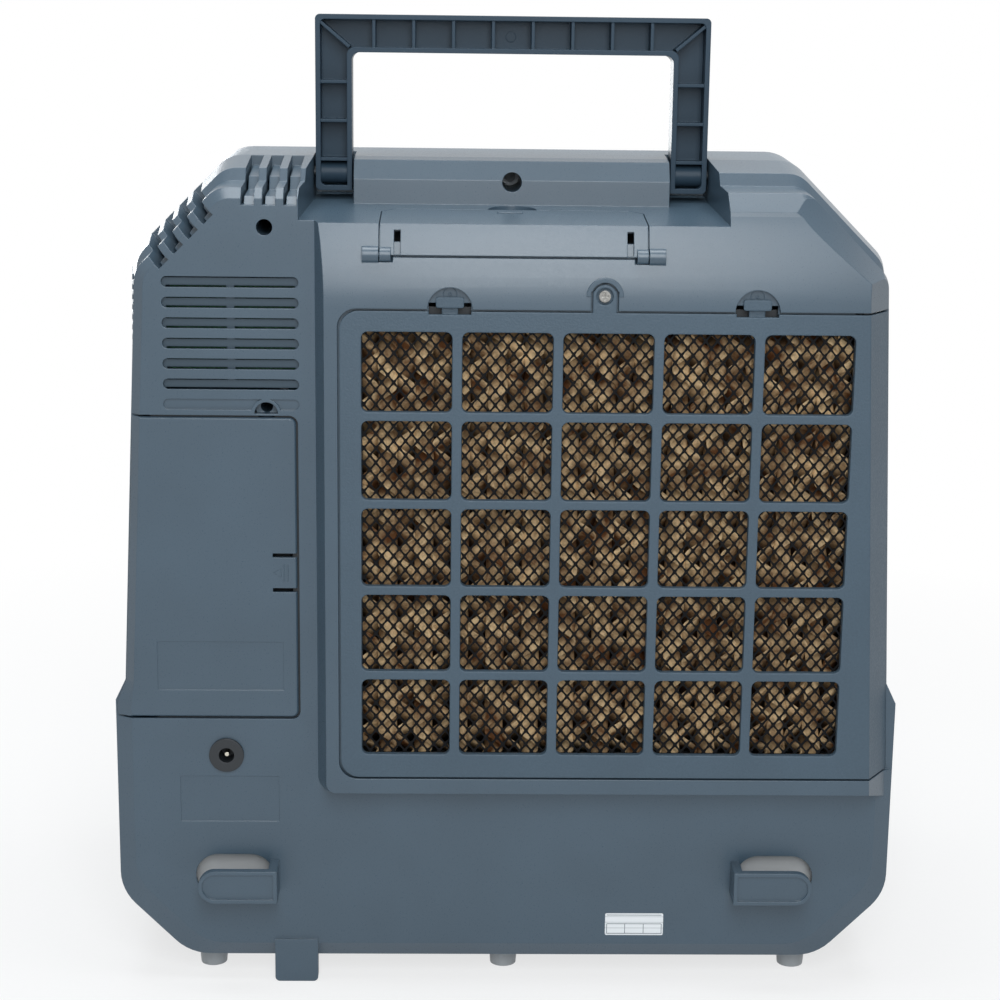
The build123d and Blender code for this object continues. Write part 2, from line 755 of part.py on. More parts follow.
def foot_pads(y):
    """Three pads under the body that the feet at one Y are fitted to."""
    with BuildPart() as pads:
        with BuildSketch(Plane.XY.offset(FOOT_HEIGHT)):
            with Locations((-FOOT_X, y), (FOOT_X, y)):
                Circle(FOOT_PAD_RADIUS)
        extrude(amount=FOOT_PAD_TOP - FOOT_HEIGHT)
        with BuildSketch(Plane.XY.offset(FOOT_HEIGHT)):
            with Locations((0, y)):
                Circle(FOOT_PAD_RADIUS)
        extrude(amount=TANK_FLOOR_Z - FOOT_HEIGHT)
    return pads.part


def panel_outline(y, gap):
    """Outline of the grille panel and its tongue at one Y, grown by gap."""
    width = SIDE_CLEAR - PANEL_LEFT + gap
    with BuildSketch(rear_plane(y)) as outline:
        with Locations((SIDE_CLEAR - width / 2, (PANEL_TOP + PANEL_BOTTOM) / 2)):
            Rectangle(width, PANEL_TOP - PANEL_BOTTOM + 2 * gap)
        fillet(outline.vertices().group_by(Axis.X)[0], radius=PANEL_CORNER)
        with Locations((TONGUE_X, (PANEL_TOP + TONGUE_SCREW_Z) / 2)):
            Rectangle(TONGUE_WIDTH + 2 * gap, TONGUE_SCREW_Z - PANEL_TOP + 2 * WALL)
        with Locations((TONGUE_X, TONGUE_SCREW_Z)):
            Circle(TONGUE_WIDTH / 2 + gap)
    return outline.sketch


def cord_hook(side):
    """Cord hook on one side: rimmed plate on an arm at its inner end."""
    mid_x = side * (HOOK_INNER_X + HOOK_LENGTH / 2)
    mid_z = HOOK_BOTTOM + HOOK_HEIGHT / 2
    outer_y = REAR_WALL_Y - HOOK_REACH
    face_y = outer_y + HOOK_RIM_RISE
    arm = sorted((side * HOOK_INNER_X, side * (HOOK_INNER_X + HOOK_ARM)))
    with BuildPart() as hook:
        with BuildSketch(rear_plane(face_y + HOOK_THICK)) as plate:
            with Locations((mid_x, mid_z)):
                Rectangle(HOOK_LENGTH, HOOK_HEIGHT)
            free_end = plate.vertices().group_by(Axis.X)[0 if side < 0 else -1]
            fillet(free_end, radius=HOOK_HEIGHT / 2 - REST_GAP)
        extrude(amount=HOOK_THICK)
        with BuildSketch(rear_plane(face_y)):
            add(plate.sketch_local)
            offset(plate.sketch_local, amount=-HOOK_RIM, mode=Mode.SUBTRACT)
        extrude(amount=HOOK_RIM_RISE)
        add(bar(arm, (face_y, REAR_WALL_Y), (HOOK_BOTTOM, HOOK_BOTTOM + HOOK_HEIGHT)))
    return hook.part


def hook_window(side):
    """Rounded window in the rear wall behind a cord hook."""
    mid_x = side * (HOOK_INNER_X + HOOK_LENGTH / 2 + WINDOW_MARGIN)
    with BuildPart() as window:
        with BuildSketch(rear_plane(REAR_INNER_Y + WALL)):
            with Locations((mid_x, HOOK_BOTTOM + HOOK_HEIGHT / 2)):
                SlotOverall(HOOK_LENGTH, HOOK_HEIGHT + 2 * WINDOW_MARGIN)
        extrude(amount=3 * WALL)
    return window.part


def vent_slot(z, back_y):
    """Slot of the left column that reaches back_y."""
    with BuildPart() as slot:
        with BuildSketch(rear_plane(back_y)):
            with Locations((VENT_X, z)):
                SlotOverall(VENT_LENGTH, VENT_HEIGHT)
        extrude(amount=2 * WALL)
    return slot.part


def frame_rib(x):
    """Gusset on the block's lower wall that carries the pad frame."""
    root = WALL + SEAT_THICK
    fall = tan(radians(BLOCK_DRAFT))
    with BuildPart() as rib:
        with BuildSketch(side_plane(x - WALL / 2)):
            with BuildLine():
                Polyline(
                    (deep(root), FRAME_BOTTOM),
                    (deep(root), BLOCK_BOTTOM + (BEVEL_Y - deep(root)) * fall + WALL / 2),
                    (BEVEL_Y, BLOCK_BOTTOM + WALL / 2),
                    (FRAME_FRONT_Y, (BLOCK_BOTTOM + FRAME_BOTTOM) / 2),
                    (FRAME_FRONT_Y, FRAME_BOTTOM),
                    close=True,
                )
            make_face()
        extrude(amount=WALL)
    return rib.part


# Rear housing: one moulding with the intake block, recess, vents, hooks and tab
with BuildPart() as rear_core:
    add([rear_form(WALL), block_form(WALL, reach=BLOCK_RISE)])
    add([edge_waste(WALL), recess_form(WALL)], mode=Mode.SUBTRACT)

with BuildPart() as vent_backing:
    add(rear_form(WALL))
    add(rear_form(WALL + CORNER_VENT_DEPTH), mode=Mode.SUBTRACT)
    backing_z = EDGE_TOP - CORNER_VENT_INSET - CORNER_VENT_MARGIN
    backing_x = EDGE_CHAMFER - EDGE_HALF
    with BuildSketch(rear_plane(REAR_WALL_Y + CORNER_VENT_END + WALL)):
        with BuildLine():
            Polyline(
                (-SIDE_CLEAR, backing_z - SIDE_CLEAR - backing_x),
                (backing_x, backing_z),
                (-RECESS_HALF, backing_z),
                (-RECESS_HALF, BODY_TOP),
                (-SIDE_CLEAR, BODY_TOP),
                close=True,
            )
        make_face()
    extrude(amount=CORNER_VENT_END + WALL, mode=Mode.INTERSECT)

chamfer_place = Location((EDGE_CHAMFER / 2 - EDGE_HALF, EDGE_TOP - EDGE_CHAMFER / 2), CORNER_TURN)
top_place = Location((TOP_VENT_X, EDGE_TOP))
vent_reach = CORNER_VENT_COUNT * CORNER_VENT_PITCH


def vent_strips(shift, width):
    """Strips across the top left corner, one for each vent, shifted along the wall."""
    with BuildPart() as strips:
        with BuildSketch(rear_plane(REAR_WALL_Y + CORNER_VENT_END)):
            for place, count in ((chamfer_place, CORNER_VENT_COUNT), (top_place, TOP_VENT_COUNT)):
                with Locations(place):
                    with Locations((shift, vent_reach / 2 - CORNER_VENT_INSET)):
                        with GridLocations(CORNER_VENT_PITCH, 1, count, 1):
                            Rectangle(width, vent_reach)
        extrude(amount=CORNER_VENT_END + WALL)
    return strips.part


with BuildPart() as corner_vents:
    add(vent_strips(0, CORNER_VENT_WIDTH))
    add(rear_form(CORNER_VENT_DEPTH), mode=Mode.SUBTRACT)
    add(vent_strips((CORNER_VENT_SLIT - CORNER_VENT_WIDTH) / 2, CORNER_VENT_SLIT))

with BuildPart() as side_ribs:
    add(rear_form(-SIDE_RIB_PROUD))
    add(rear_form(WALL), mode=Mode.SUBTRACT)
    rib_back_y = REAR_WALL_Y + CORNER_VENT_END
    rib_mid_z = SIDE_RIB_TOP_Z - SIDE_RIB_PITCH * (SIDE_RIB_COUNT - 1) / 2
    with BuildSketch(side_plane(-SIDE_CLEAR)):
        with Locations(((rib_back_y + SPLIT_Y) / 2, rib_mid_z)):
            with GridLocations(1, SIDE_RIB_PITCH, 1, SIDE_RIB_COUNT):
                Rectangle(SPLIT_Y - rib_back_y, SIDE_RIB_WIDTH)
    extrude(amount=SIDE_CLEAR / 2, mode=Mode.INTERSECT)

with BuildPart() as seat_ring:
    add(block_form(WALL))
    seat_span = (deep(WALL), deep(WALL + SEAT_THICK))
    add(bar((-SIDE_CLEAR, SIDE_CLEAR), seat_span, (0, PANEL_TOP + LATCH_RADIUS + WALL)), mode=Mode.INTERSECT)

with BuildPart() as tongue_rim:
    with BuildSketch(rear_plane(POCKET_Y)):
        with Locations((TONGUE_X, TONGUE_SCREW_Z)):
            Circle(TONGUE_WIDTH / 2 + HALF_GAP + TONGUE_RIM)
        with Locations((TONGUE_X, TONGUE_SCREW_Z - TONGUE_WIDTH)):
            Rectangle(2 * TONGUE_WIDTH, 2 * TONGUE_WIDTH, mode=Mode.SUBTRACT)
    extrude(amount=POCKET_Y - FACE_Y + TONGUE_RIM / 4)

with BuildPart() as stand_tab:
    with BuildSketch(rear_plane(BEVEL_Y)) as tab:
        with Locations((TAB_LEFT + TAB_WIDTH / 2, (TAB_FOOT_Z + TAB_TOP_Z) / 2)):
            Rectangle(TAB_WIDTH, TAB_TOP_Z - TAB_FOOT_Z)
        fillet(tab.vertices().group_by(Axis.Y)[0], radius=WALL)
    extrude(amount=TAB_THICK)

with BuildPart() as panel_pocket:
    pocket_depth = POCKET_Y - FACE_Y + WALL
    add(extrude(panel_outline(POCKET_Y, HALF_GAP), amount=pocket_depth))
    with BuildSketch(rear_plane(POCKET_Y)):
        for latch_x in LATCH_XS:
            with Locations((latch_x, PANEL_TOP)):
                Circle(LATCH_RADIUS)
    extrude(amount=pocket_depth)

with BuildPart() as latch_slots:
    latch_z = (OPENING_TOP - WALL, PANEL_TOP + LATCH_SLOT_RISE)
    with BuildSketch(rear_plane(deep(WALL + SEAT_THICK + WALL))):
        for latch_x in LATCH_XS:
            with Locations((latch_x, (latch_z[0] + latch_z[1]) / 2)):
                Rectangle(LATCH_SLOT_WIDTH, latch_z[1] - latch_z[0])
    extrude(amount=SEAT_THICK + 2 * WALL)
    with BuildSketch(rear_plane(POCKET_Y + LATCH_DISH_SINK)):
        for latch_x in LATCH_XS:
            with Locations((latch_x, PANEL_TOP + LATCH_DISH_RISE)):
                Circle(LATCH_DISH_RADIUS)
    extrude(amount=PANEL_THICK)


def door_outline(y, gap):
    """Outline of the battery door at one Y, grown by gap; it runs out at the left side."""
    right = DOOR_RIGHT + gap
    with BuildSketch(rear_plane(y)) as outline:
        with Locations(((right - SIDE_CLEAR) / 2, (DOOR_BOTTOM + DOOR_TOP) / 2)):
            Rectangle(right + SIDE_CLEAR, DOOR_TOP - DOOR_BOTTOM + 2 * gap)
        fillet(outline.vertices().group_by(Axis.X)[-1], radius=DOOR_CORNER + gap)
    return outline.sketch


def half_moon(radius, y_back, y_front):
    """Upper half of a rod along Y over the flat of the lower screw hole."""
    with BuildPart() as moon:
        add(rod_y(BODY_SCREWS[1][0], MOON_FLAT_Z, y_back, y_front, radius))
        below = (MOON_FLAT_Z - 2 * radius, MOON_FLAT_Z)
        span = (BODY_SCREWS[1][0] - radius, BODY_SCREWS[1][0] + radius)
        add(bar(span, (y_back, y_front), below), mode=Mode.SUBTRACT)
    return moon.part


with BuildPart() as moon_rim:
    add(half_moon(MOON_RADIUS + MOON_RIM, REAR_WALL_Y, REAR_INNER_Y))
    add(half_moon(MOON_RADIUS, REAR_WALL_Y, REAR_INNER_Y), mode=Mode.SUBTRACT)

seat_in = LID_THICK + REST_GAP
lid_room = LID_HALF + HALF_GAP
seat_half = LID_HALF + LID_BARREL_LENGTH
mouth_y = (deep(MOUTH_BACK_DEPTH), deep(MOUTH_FRONT_DEPTH))
pivot_bore = HANDLE_PIN_RADIUS + PIN_PLAY
added = [
    vent_backing.part,
    side_ribs.part,
    seat_ring.part,
    tongue_rim.part,
    stand_tab.part,
    foot_pads(deep(FOOT_DEPTH)),
    lid_band(0, seat_in + WALL, seat_half, LID_PIVOT_Z - LID_BARREL_LENGTH, SADDLE_DEPTH, WALL),
    rod_y(TONGUE_X, TONGUE_SCREW_Z, POCKET_Y, deep(BLOCK_RISE), BOSS_RADIUS),
    *mirrored_rods(lid_room, lid_room + LID_BARREL_LENGTH, LID_PIVOT_Y, LID_PIVOT_Z, LID_BARREL_RADIUS),
    *mirrored_rods(
        RECESS_HALF, RECESS_HALF + HANDLE_BOSS_LENGTH, HANDLE_PIVOT_Y, HANDLE_PIVOT_Z, HANDLE_BOSS_RADIUS
    ),
]
for rib_x in (FRAME_LEFT + BLOCK_RISE, FRAME_RIGHT - BLOCK_RISE):
    added.append(frame_rib(rib_x))
for boss_x, boss_z, boss_y, hole_radius in SCREW_PLACES:
    boss_radius = max(BOSS_RADIUS, hole_radius + BOSS_WALL)
    added.append(rod_y(boss_x, boss_z, boss_y + WALL, SPLIT_Y, boss_radius))

outside_y = deep(-WALL)
scoop_z = recess_floor(LID_REACH_DEPTH) - SCOOP_SINK
with BuildPart() as scoop:
    with BuildSketch(Plane.XY.offset(scoop_z)):
        with Locations((0, deep(LID_REACH_DEPTH))):
            Circle(SCOOP_RADIUS)
    extrude(amount=BODY_TOP - scoop_z)
knuckle_room = LID_HALF - LID_KNUCKLE_LENGTH - SHUT_GAP
knuckle_radius = LID_KNUCKLE_RADIUS + REST_GAP
lid_bore = LID_HALF + LID_PIN_LENGTH + REST_GAP
pin_hold = RECESS_HALF + HANDLE_PIN_HOLD
wrap_left = EDGE_HALF - (BEVEL_Y - FACE_Y)
wall_skin = (REAR_WALL_Y - WALL, REAR_WALL_Y + LABEL_SINK)
slot_half = LID_SLOT_WIDTH / 2
slot_y = (outside_y, deep(BLOCK_RISE))
window_x = (MOUTH_HALF - WALL, LID_SLOT_X + slot_half)
window_z = (LID_SLOT_TOP_Z - LID_SLOT_WINDOW, LID_SLOT_TOP_Z + WALL)
cuts = [
    corner_vents.part,
    panel_pocket.part,
    latch_slots.part,
    bar((OPENING_LEFT, SIDE_CLEAR), (outside_y, BEVEL_Y), (OPENING_BOTTOM, OPENING_TOP)),
    bar((wrap_left, SIDE_CLEAR), (outside_y, BEVEL_Y), (PANEL_BOTTOM - HALF_GAP, PANEL_TOP + HALF_GAP)),
    rod_y(TONGUE_X, TONGUE_SCREW_Z, FACE_Y, deep(2 * BLOCK_RISE), SCREW_RADIUS + LOOSE_HOLE),
    recess_form(0),
    lid_band(-WALL, seat_in, lid_room, LID_LOW_Z - SHUT_GAP, LID_REACH_DEPTH + HALF_GAP, LID_CORNER),
    *mirrored_rods(knuckle_room, lid_room, LID_PIVOT_Y, LID_PIVOT_Z, knuckle_radius),
    *mirrored_rods(LID_HALF, lid_bore, LID_PIVOT_Y, LID_PIVOT_Z, LID_PIN_RADIUS + PIN_PLAY),
    bar((-MOUTH_HALF, MOUTH_HALF), mouth_y, (SLOPE_START, BODY_TOP)),
    bar(window_x, slot_y, window_z),
    bar((-window_x[1], -window_x[0]), slot_y, window_z),
    scoop.part,
    *mirrored_rods(RECESS_HALF - WALL, pin_hold, HANDLE_PIVOT_Y, HANDLE_PIVOT_Z, pivot_bore),
    extrude(door_outline(BEVEL_Y, HALF_GAP), amount=BLOCK_RISE),
    half_moon(MOON_RADIUS, outside_y, REAR_INNER_Y + WALL),
    bar(SOCKET_LABEL_X, wall_skin, SOCKET_LABEL_Z),
    rod_y(SOCKET_X, SOCKET_Z, outside_y, REAR_INNER_Y + WALL, SOCKET_BARREL_RADIUS + PIN_PLAY),
    *(hook_window(side) for side in (-1, 1)),
    *(vent_slot(z, REAR_INNER_Y + WALL) for z in VENT_ZS[:-1]),
    vent_slot(VENT_ZS[-1], REAR_WALL_Y + WALL / 2),
]
for boss_x, boss_z, boss_y, hole_radius in SCREW_PLACES:
    cuts.append(rod_y(boss_x, boss_z, boss_y - BLOCK_RISE, SPLIT_Y - BOSS_FLOOR, hole_radius))
    cuts.append(rod_y(boss_x, boss_z, boss_y, SPLIT_Y + WALL, SCREW_RADIUS + PIN_PLAY))

with BuildPart() as rear_housing:
    add([rear_form(0), block_form(0)])
    add([edge_waste(0), rear_core.part], mode=Mode.SUBTRACT)
    add(added)
    add(cuts, mode=Mode.SUBTRACT)
    add(moon_rim.part)
finish(rear_housing, "rear_housing")

# Cord hooks set into the rear wall
with BuildPart() as cord_hooks:
    add([cord_hook(side) for side in (-1, 1)])
finish(cord_hooks, "cord_hooks")

# Front housing: shell with the outlet collar, control window and screw posts
with BuildPart() as collar:
    with BuildSketch(rear_plane(FRONT_INNER_Y)):
        with Locations((GRILLE_X, GRILLE_Z)):
            collar_width = OUTLET_WIDTH + 2 * COLLAR_WALL
            collar_height = OUTLET_HEIGHT + 2 * COLLAR_WALL
            RectangleRounded(collar_width, collar_height, OUTLET_RADIUS + COLLAR_WALL)
    extrude(amount=COLLAR_LENGTH - WALL)

with BuildPart() as outlet_cut:
    with BuildSketch(rear_plane(FRONT_WALL_Y + WALL)):
        with Locations((GRILLE_X, GRILLE_Z)):
            RectangleRounded(OUTLET_WIDTH, OUTLET_HEIGHT, OUTLET_RADIUS)
    extrude(amount=COLLAR_LENGTH + 2 * WALL)

post_y = (SPLIT_Y, SPLIT_Y + POST_LENGTH)
window_half_x = CONTROL_WIDTH / 2 - CONTROL_RIM
window_half_z = CONTROL_HEIGHT / 2 - CONTROL_RIM
BOARD_CORNERS = [
    (CONTROL_X + i * (CONTROL_WIDTH - CONTROL_RIM) / 2, CONTROL_Z + j * (CONTROL_HEIGHT - CONTROL_RIM) / 2)
    for i in (-1, 1)
    for j in (-1, 1)
]
front_added = [collar.part, foot_pads(-deep(FOOT_DEPTH))]
front_cuts = [
    outlet_cut.part,
    bar(
        (CONTROL_X - window_half_x, CONTROL_X + window_half_x),
        (FRONT_INNER_Y - WALL, FRONT_WALL_Y + WALL),
        (CONTROL_Z - window_half_z, CONTROL_Z + window_half_z),
    ),
]
for screw_x, screw_z, _, _ in SCREW_PLACES:
    front_added.append(rod_y(screw_x, screw_z, *post_y, BOSS_RADIUS))
    pilot_end = SPLIT_Y + SCREW_REACH + WALL
    front_cuts.append(rod_y(screw_x, screw_z, SPLIT_Y - WALL, pilot_end, SCREW_RADIUS + PIN_PLAY))
    if screw_z > OPENING_TOP:
        rib_span = (screw_x - POST_RIB / 2, screw_x + POST_RIB / 2)
        front_added.append(bar(rib_span, post_y, (screw_z, BODY_TOP - POST_RIB_SINK)))
    else:
        rib_span = (screw_z - POST_RIB / 2, screw_z + POST_RIB / 2)
        front_added.append(bar((WALL / 2 - BODY_HALF, screw_x), post_y, rib_span))
for corner_x, corner_z in BOARD_CORNERS:
    front_added.append(rod_y(corner_x, corner_z, SWITCH_BOARD_Y, FRONT_INNER_Y, STANDOFF_RADIUS))
vane_bore = VANE_PIN_RADIUS + PIN_PLAY
for vane_z in VANE_ZS:
    front_cuts.append(rod_x(VANE_PIN_LEFT - WALL, VANE_PIN_RIGHT + WALL, VANE_PIVOT_Y, vane_z, vane_bore))

with BuildPart() as front_housing:
    add(front_form(0))
    add(front_form(WALL), mode=Mode.SUBTRACT)
    add(front_added)
    add(front_cuts, mode=Mode.SUBTRACT)
finish(front_housing, "front_housing")

# Screws that hold the two halves together
with BuildPart() as housing_screws:
    screw_seat_y = SPLIT_Y - BOSS_FLOOR
    for screw_x, screw_z, _, _ in SCREW_PLACES:
        add(rod_y(screw_x, screw_z, screw_seat_y - SCREW_HEAD_THICK, screw_seat_y, SCREW_HEAD_RADIUS))
        add(rod_y(screw_x, screw_z, screw_seat_y, SPLIT_Y + SCREW_REACH, SCREW_RADIUS))
finish(housing_screws, "housing_screws")

# Feet on their pads
with BuildPart() as rubber_feet:
    with Locations(*((x, y, 0) for x, y in FOOT_PLACES)):
        standing = (Align.CENTER, Align.CENTER, Align.MIN)
        Cone(FOOT_RADIUS - FOOT_TAPER, FOOT_RADIUS, FOOT_HEIGHT, align=standing)
finish(rubber_feet, "rubber_feet")


def tub_outline(y, inset):
    """Section of the water tank at one Y, drawn in by inset."""
    half = TANK_HALF - inset
    floor = TANK_FLOOR_Z + inset
    chamfered = half - TANK_CHAMFER
    top = TANK_TOP + inset
    with BuildSketch(rear_plane(y)) as outline:
        with BuildLine():
            Polyline(
                (-half, top),
                (-half, floor + TANK_CHAMFER),
                (-chamfered, floor),
                (chamfered, floor),
                (half, floor + TANK_CHAMFER),
                (half, top),
                close=True,
            )
        make_face()
    return outline.sketch


# Water tank, open at the top, standing on the floor of the housing
tank_back_y = REAR_INNER_Y + TANK_BACK_GAP
with BuildPart() as water_tank:
    add(extrude(tub_outline(TANK_FRONT_Y, 0), amount=TANK_FRONT_Y - tank_back_y))
    inner_length = TANK_FRONT_Y - tank_back_y - 2 * WALL
    extrude(tub_outline(TANK_FRONT_Y - WALL, WALL), amount=inner_length, mode=Mode.SUBTRACT)
finish(water_tank, "water_tank")

# Pump on the tank floor with its outlet spigot
pump_foot_z = TANK_FLOOR_Z + WALL
pump_top_z = pump_foot_z + PUMP_HEIGHT
with BuildPart() as water_pump:
    with BuildSketch(Plane.XY.offset(pump_foot_z)):
        with Locations((PUMP_X, PUMP_Y)):
            RectangleRounded(PUMP_SIZE, PUMP_SIZE, PUMP_CORNER)
    extrude(amount=PUMP_HEIGHT)
    with BuildSketch(rear_plane(PUMP_Y - PUMP_SIZE / 2 + PUMP_SLOT)):
        with Locations((PUMP_X, pump_foot_z + PUMP_HEIGHT / 3)):
            with GridLocations(2 * PUMP_SLOT, 1, PUMP_SLOTS, 1):
                SlotOverall(PUMP_HEIGHT / 2, PUMP_SLOT, rotation=90)
    extrude(amount=2 * PUMP_SLOT, mode=Mode.SUBTRACT)
    with BuildSketch(Plane.XY.offset(pump_top_z)):
        with Locations((PUMP_X, PUMP_Y)):
            Circle(HOSE_BORE - PIN_PLAY)
    extrude(amount=2 * HOSE_RADIUS)
finish(water_pump, "water_pump")

# Hose from the pump up the right side and over to the drip tray
with BuildPart() as pump_hose:
    with BuildLine() as route:
        FilletPolyline(
            (PUMP_X, PUMP_Y, pump_top_z),
            (PUMP_X, PUMP_Y, HOSE_LOW_Z),
            (HOSE_SIDE_X, PUMP_Y, HOSE_LOW_Z),
            (HOSE_SIDE_X, PUMP_Y, HOSE_TOP_Z),
            (HOSE_END[0], HOSE_END[1], HOSE_TOP_Z),
            HOSE_END,
            radius=HOSE_BEND,
        )
    with BuildSketch(Plane.XY.offset(pump_top_z)):
        with Locations((PUMP_X, PUMP_Y)):
            Circle(HOSE_RADIUS)
            Circle(HOSE_BORE, mode=Mode.SUBTRACT)
    sweep(path=route.wires()[0])
finish(pump_hose, "pump_hose")

# Frame of the wet pad, open at the front, the back, the top and the bottom
frame_x = (FRAME_LEFT, FRAME_RIGHT)
frame_y = (FRAME_BACK_Y, FRAME_FRONT_Y)
frame_z = (FRAME_BOTTOM, FRAME_TOP)


def shrink(span, amount):
    """Span drawn in by amount at both ends."""
    return span[0] + amount, span[1] - amount


frame_lip = FRAME_WALL + FRAME_LIP
with BuildPart() as pad_frame:
    add(bar(frame_x, frame_y, frame_z))
    frame_cuts = [
        bar(shrink(frame_x, FRAME_WALL), shrink(frame_y, FRAME_WALL), shrink(frame_z, FRAME_WALL)),
        bar(shrink(frame_x, frame_lip), shrink(frame_y, -FRAME_WALL), shrink(frame_z, frame_lip)),
        bar(shrink(frame_x, 2 * frame_lip), shrink(frame_y, frame_lip), shrink(frame_z, -FRAME_WALL)),
    ]
    add(frame_cuts, mode=Mode.SUBTRACT)
finish(pad_frame, "pad_frame")

# Wet pad with a fluted back
pad_x = shrink(frame_x, FRAME_WALL + REST_GAP)
pad_z = shrink(frame_z, FRAME_WALL)
flute = (pad_x[1] - pad_x[0]) / (2 * PAD_FLUTES)
with BuildPart() as cooling_pad:
    with BuildSketch(Plane.XY.offset(pad_z[0])):
        with BuildLine():
            flutes = [
                (pad_x[0] + flute * i, PAD_BACK_Y + (PAD_FLUTE_DEPTH if i % 2 else REST_GAP))
                for i in range(2 * PAD_FLUTES + 1)
            ]
            pad_front_y = PAD_BACK_Y + PAD_THICK - REST_GAP
            Polyline(*flutes, (pad_x[1], pad_front_y), (pad_x[0], pad_front_y), close=True)
        make_face()
    extrude(amount=pad_z[1] - pad_z[0])
finish(cooling_pad, "cooling_pad")

# Drip tray on top of the frame
tray_x = shrink(frame_x, FRAME_ROOM)
tray_y = shrink(frame_y, FRAME_ROOM)
tray_z = (FRAME_TOP, FRAME_TOP + TRAY_HEIGHT)
with BuildPart() as drip_tray:
    add(bar(tray_x, tray_y, tray_z))
    tray_room_z = (FRAME_TOP + TRAY_WALL, FRAME_TOP + 2 * TRAY_HEIGHT)
    add(bar(shrink(tray_x, TRAY_WALL), shrink(tray_y, TRAY_WALL), tray_room_z), mode=Mode.SUBTRACT)
    with BuildSketch(Plane.XY.offset(FRAME_TOP)):
        with Locations(((tray_x[0] + tray_x[1]) / 2, (tray_y[0] + tray_y[1]) / 2)):
            with GridLocations((tray_x[1] - tray_x[0]) / (TRAY_HOLES + 1), 1, TRAY_HOLES, 1):
                Circle(TRAY_HOLE_RADIUS)
    extrude(amount=TRAY_WALL, mode=Mode.SUBTRACT)
finish(drip_tray, "drip_tray")

# Fan shroud: flange on the pad frame, ring, struts and motor mount
duct_inner = FAN_RADIUS + FAN_TIP_GAP
duct_outer = duct_inner + DUCT_WALL
mount_radius = MOTOR_RADIUS + STRUT_THICK
with BuildPart() as fan_shroud:
    with BuildSketch(rear_plane(FRAME_FRONT_Y + DUCT_WALL)):
        with Locations(((FRAME_LEFT + FRAME_RIGHT) / 2, (FRAME_BOTTOM + FRAME_TOP) / 2)):
            Rectangle(FRAME_RIGHT - FRAME_LEFT, FRAME_TOP - FRAME_BOTTOM)
        with Locations((GRILLE_X, GRILLE_Z)):
            Circle(duct_inner, mode=Mode.SUBTRACT)
    extrude(amount=DUCT_WALL)
    with BuildSketch(rear_plane(DUCT_FRONT_Y)):
        with Locations((GRILLE_X, GRILLE_Z)):
            Circle(duct_outer)
            Circle(duct_inner, mode=Mode.SUBTRACT)
    extrude(amount=DUCT_LENGTH)
    with BuildSketch(rear_plane(DUCT_FRONT_Y)):
        with Locations((GRILLE_X, GRILLE_Z)):
            strut_mid = (mount_radius + duct_inner) / 2
            with PolarLocations(strut_mid, STRUT_COUNT, start_angle=180 / STRUT_COUNT):
                Rectangle(duct_inner - mount_radius + 2 * DUCT_WALL, STRUT_WIDTH)
            Circle(mount_radius)
            Circle(2 * SHAFT_RADIUS, mode=Mode.SUBTRACT)
    extrude(amount=STRUT_THICK)
finish(fan_shroud, "fan_shroud")

# Motor on the mount, with the bore its shaft turns in
with BuildPart() as fan_motor:
    add(rod_y(GRILLE_X, GRILLE_Z, DUCT_FRONT_Y, DUCT_FRONT_Y + MOTOR_LENGTH, MOTOR_RADIUS))
    fillet(fan_motor.edges().group_by(Axis.Y)[-1], radius=PUMP_CORNER)
    add(rod_y(GRILLE_X, GRILLE_Z, DUCT_FRONT_Y, MOTOR_BORE_Y, SHAFT_RADIUS + PIN_PLAY), mode=Mode.SUBTRACT)
finish(fan_motor, "fan_motor")

# Shaft with the shoulder that the hub bears on
shaft_back_y = HUB_BACK_Y - NUT_LENGTH + FRAME_WALL
with BuildPart() as motor_shaft:
    add(rod_y(GRILLE_X, GRILLE_Z, shaft_back_y, MOTOR_BORE_Y - SHUT_GAP, SHAFT_RADIUS))
    add(rod_y(GRILLE_X, GRILLE_Z, HUB_FRONT_Y, HUB_FRONT_Y + FRAME_WALL, SHAFT_RADIUS + FRAME_WALL))
finish(motor_shaft, "motor_shaft")


def blade_section(radius, chord, pitch):
    """Section of one fan blade at a radius, leaning by its pitch."""
    lean = radians(pitch)
    origin = (GRILLE_X, HUB_FRONT_Y - FAN_HUB_LENGTH / 2, GRILLE_Z + radius)
    with BuildSketch(Plane(origin=origin, x_dir=(cos(lean), sin(lean), 0), z_dir=(0, 0, 1))) as section:
        SlotOverall(chord, FAN_BLADE_THICK)
    return section.sketch


# Fan wheel: hollow hub with twisted blades
blade_mid_radius = (FAN_HUB_RADIUS + FAN_RADIUS) / 2
blade_mid_pitch = (FAN_ROOT_PITCH + FAN_TIP_PITCH) / 2
wheel_room_y = (HUB_BACK_Y - FAN_HUB_LENGTH, DUCT_FRONT_Y)
with BuildPart() as blade:
    loft(
        [
            blade_section(FAN_HUB_RADIUS - FAN_HUB_WALL / 2, FAN_ROOT_CHORD, FAN_ROOT_PITCH),
            blade_section(blade_mid_radius, FAN_TIP_CHORD, blade_mid_pitch),
            blade_section(FAN_RADIUS, FAN_TIP_CHORD, FAN_TIP_PITCH),
        ]
    )
    add(rod_y(GRILLE_X, GRILLE_Z, *wheel_room_y, FAN_RADIUS), mode=Mode.INTERSECT)

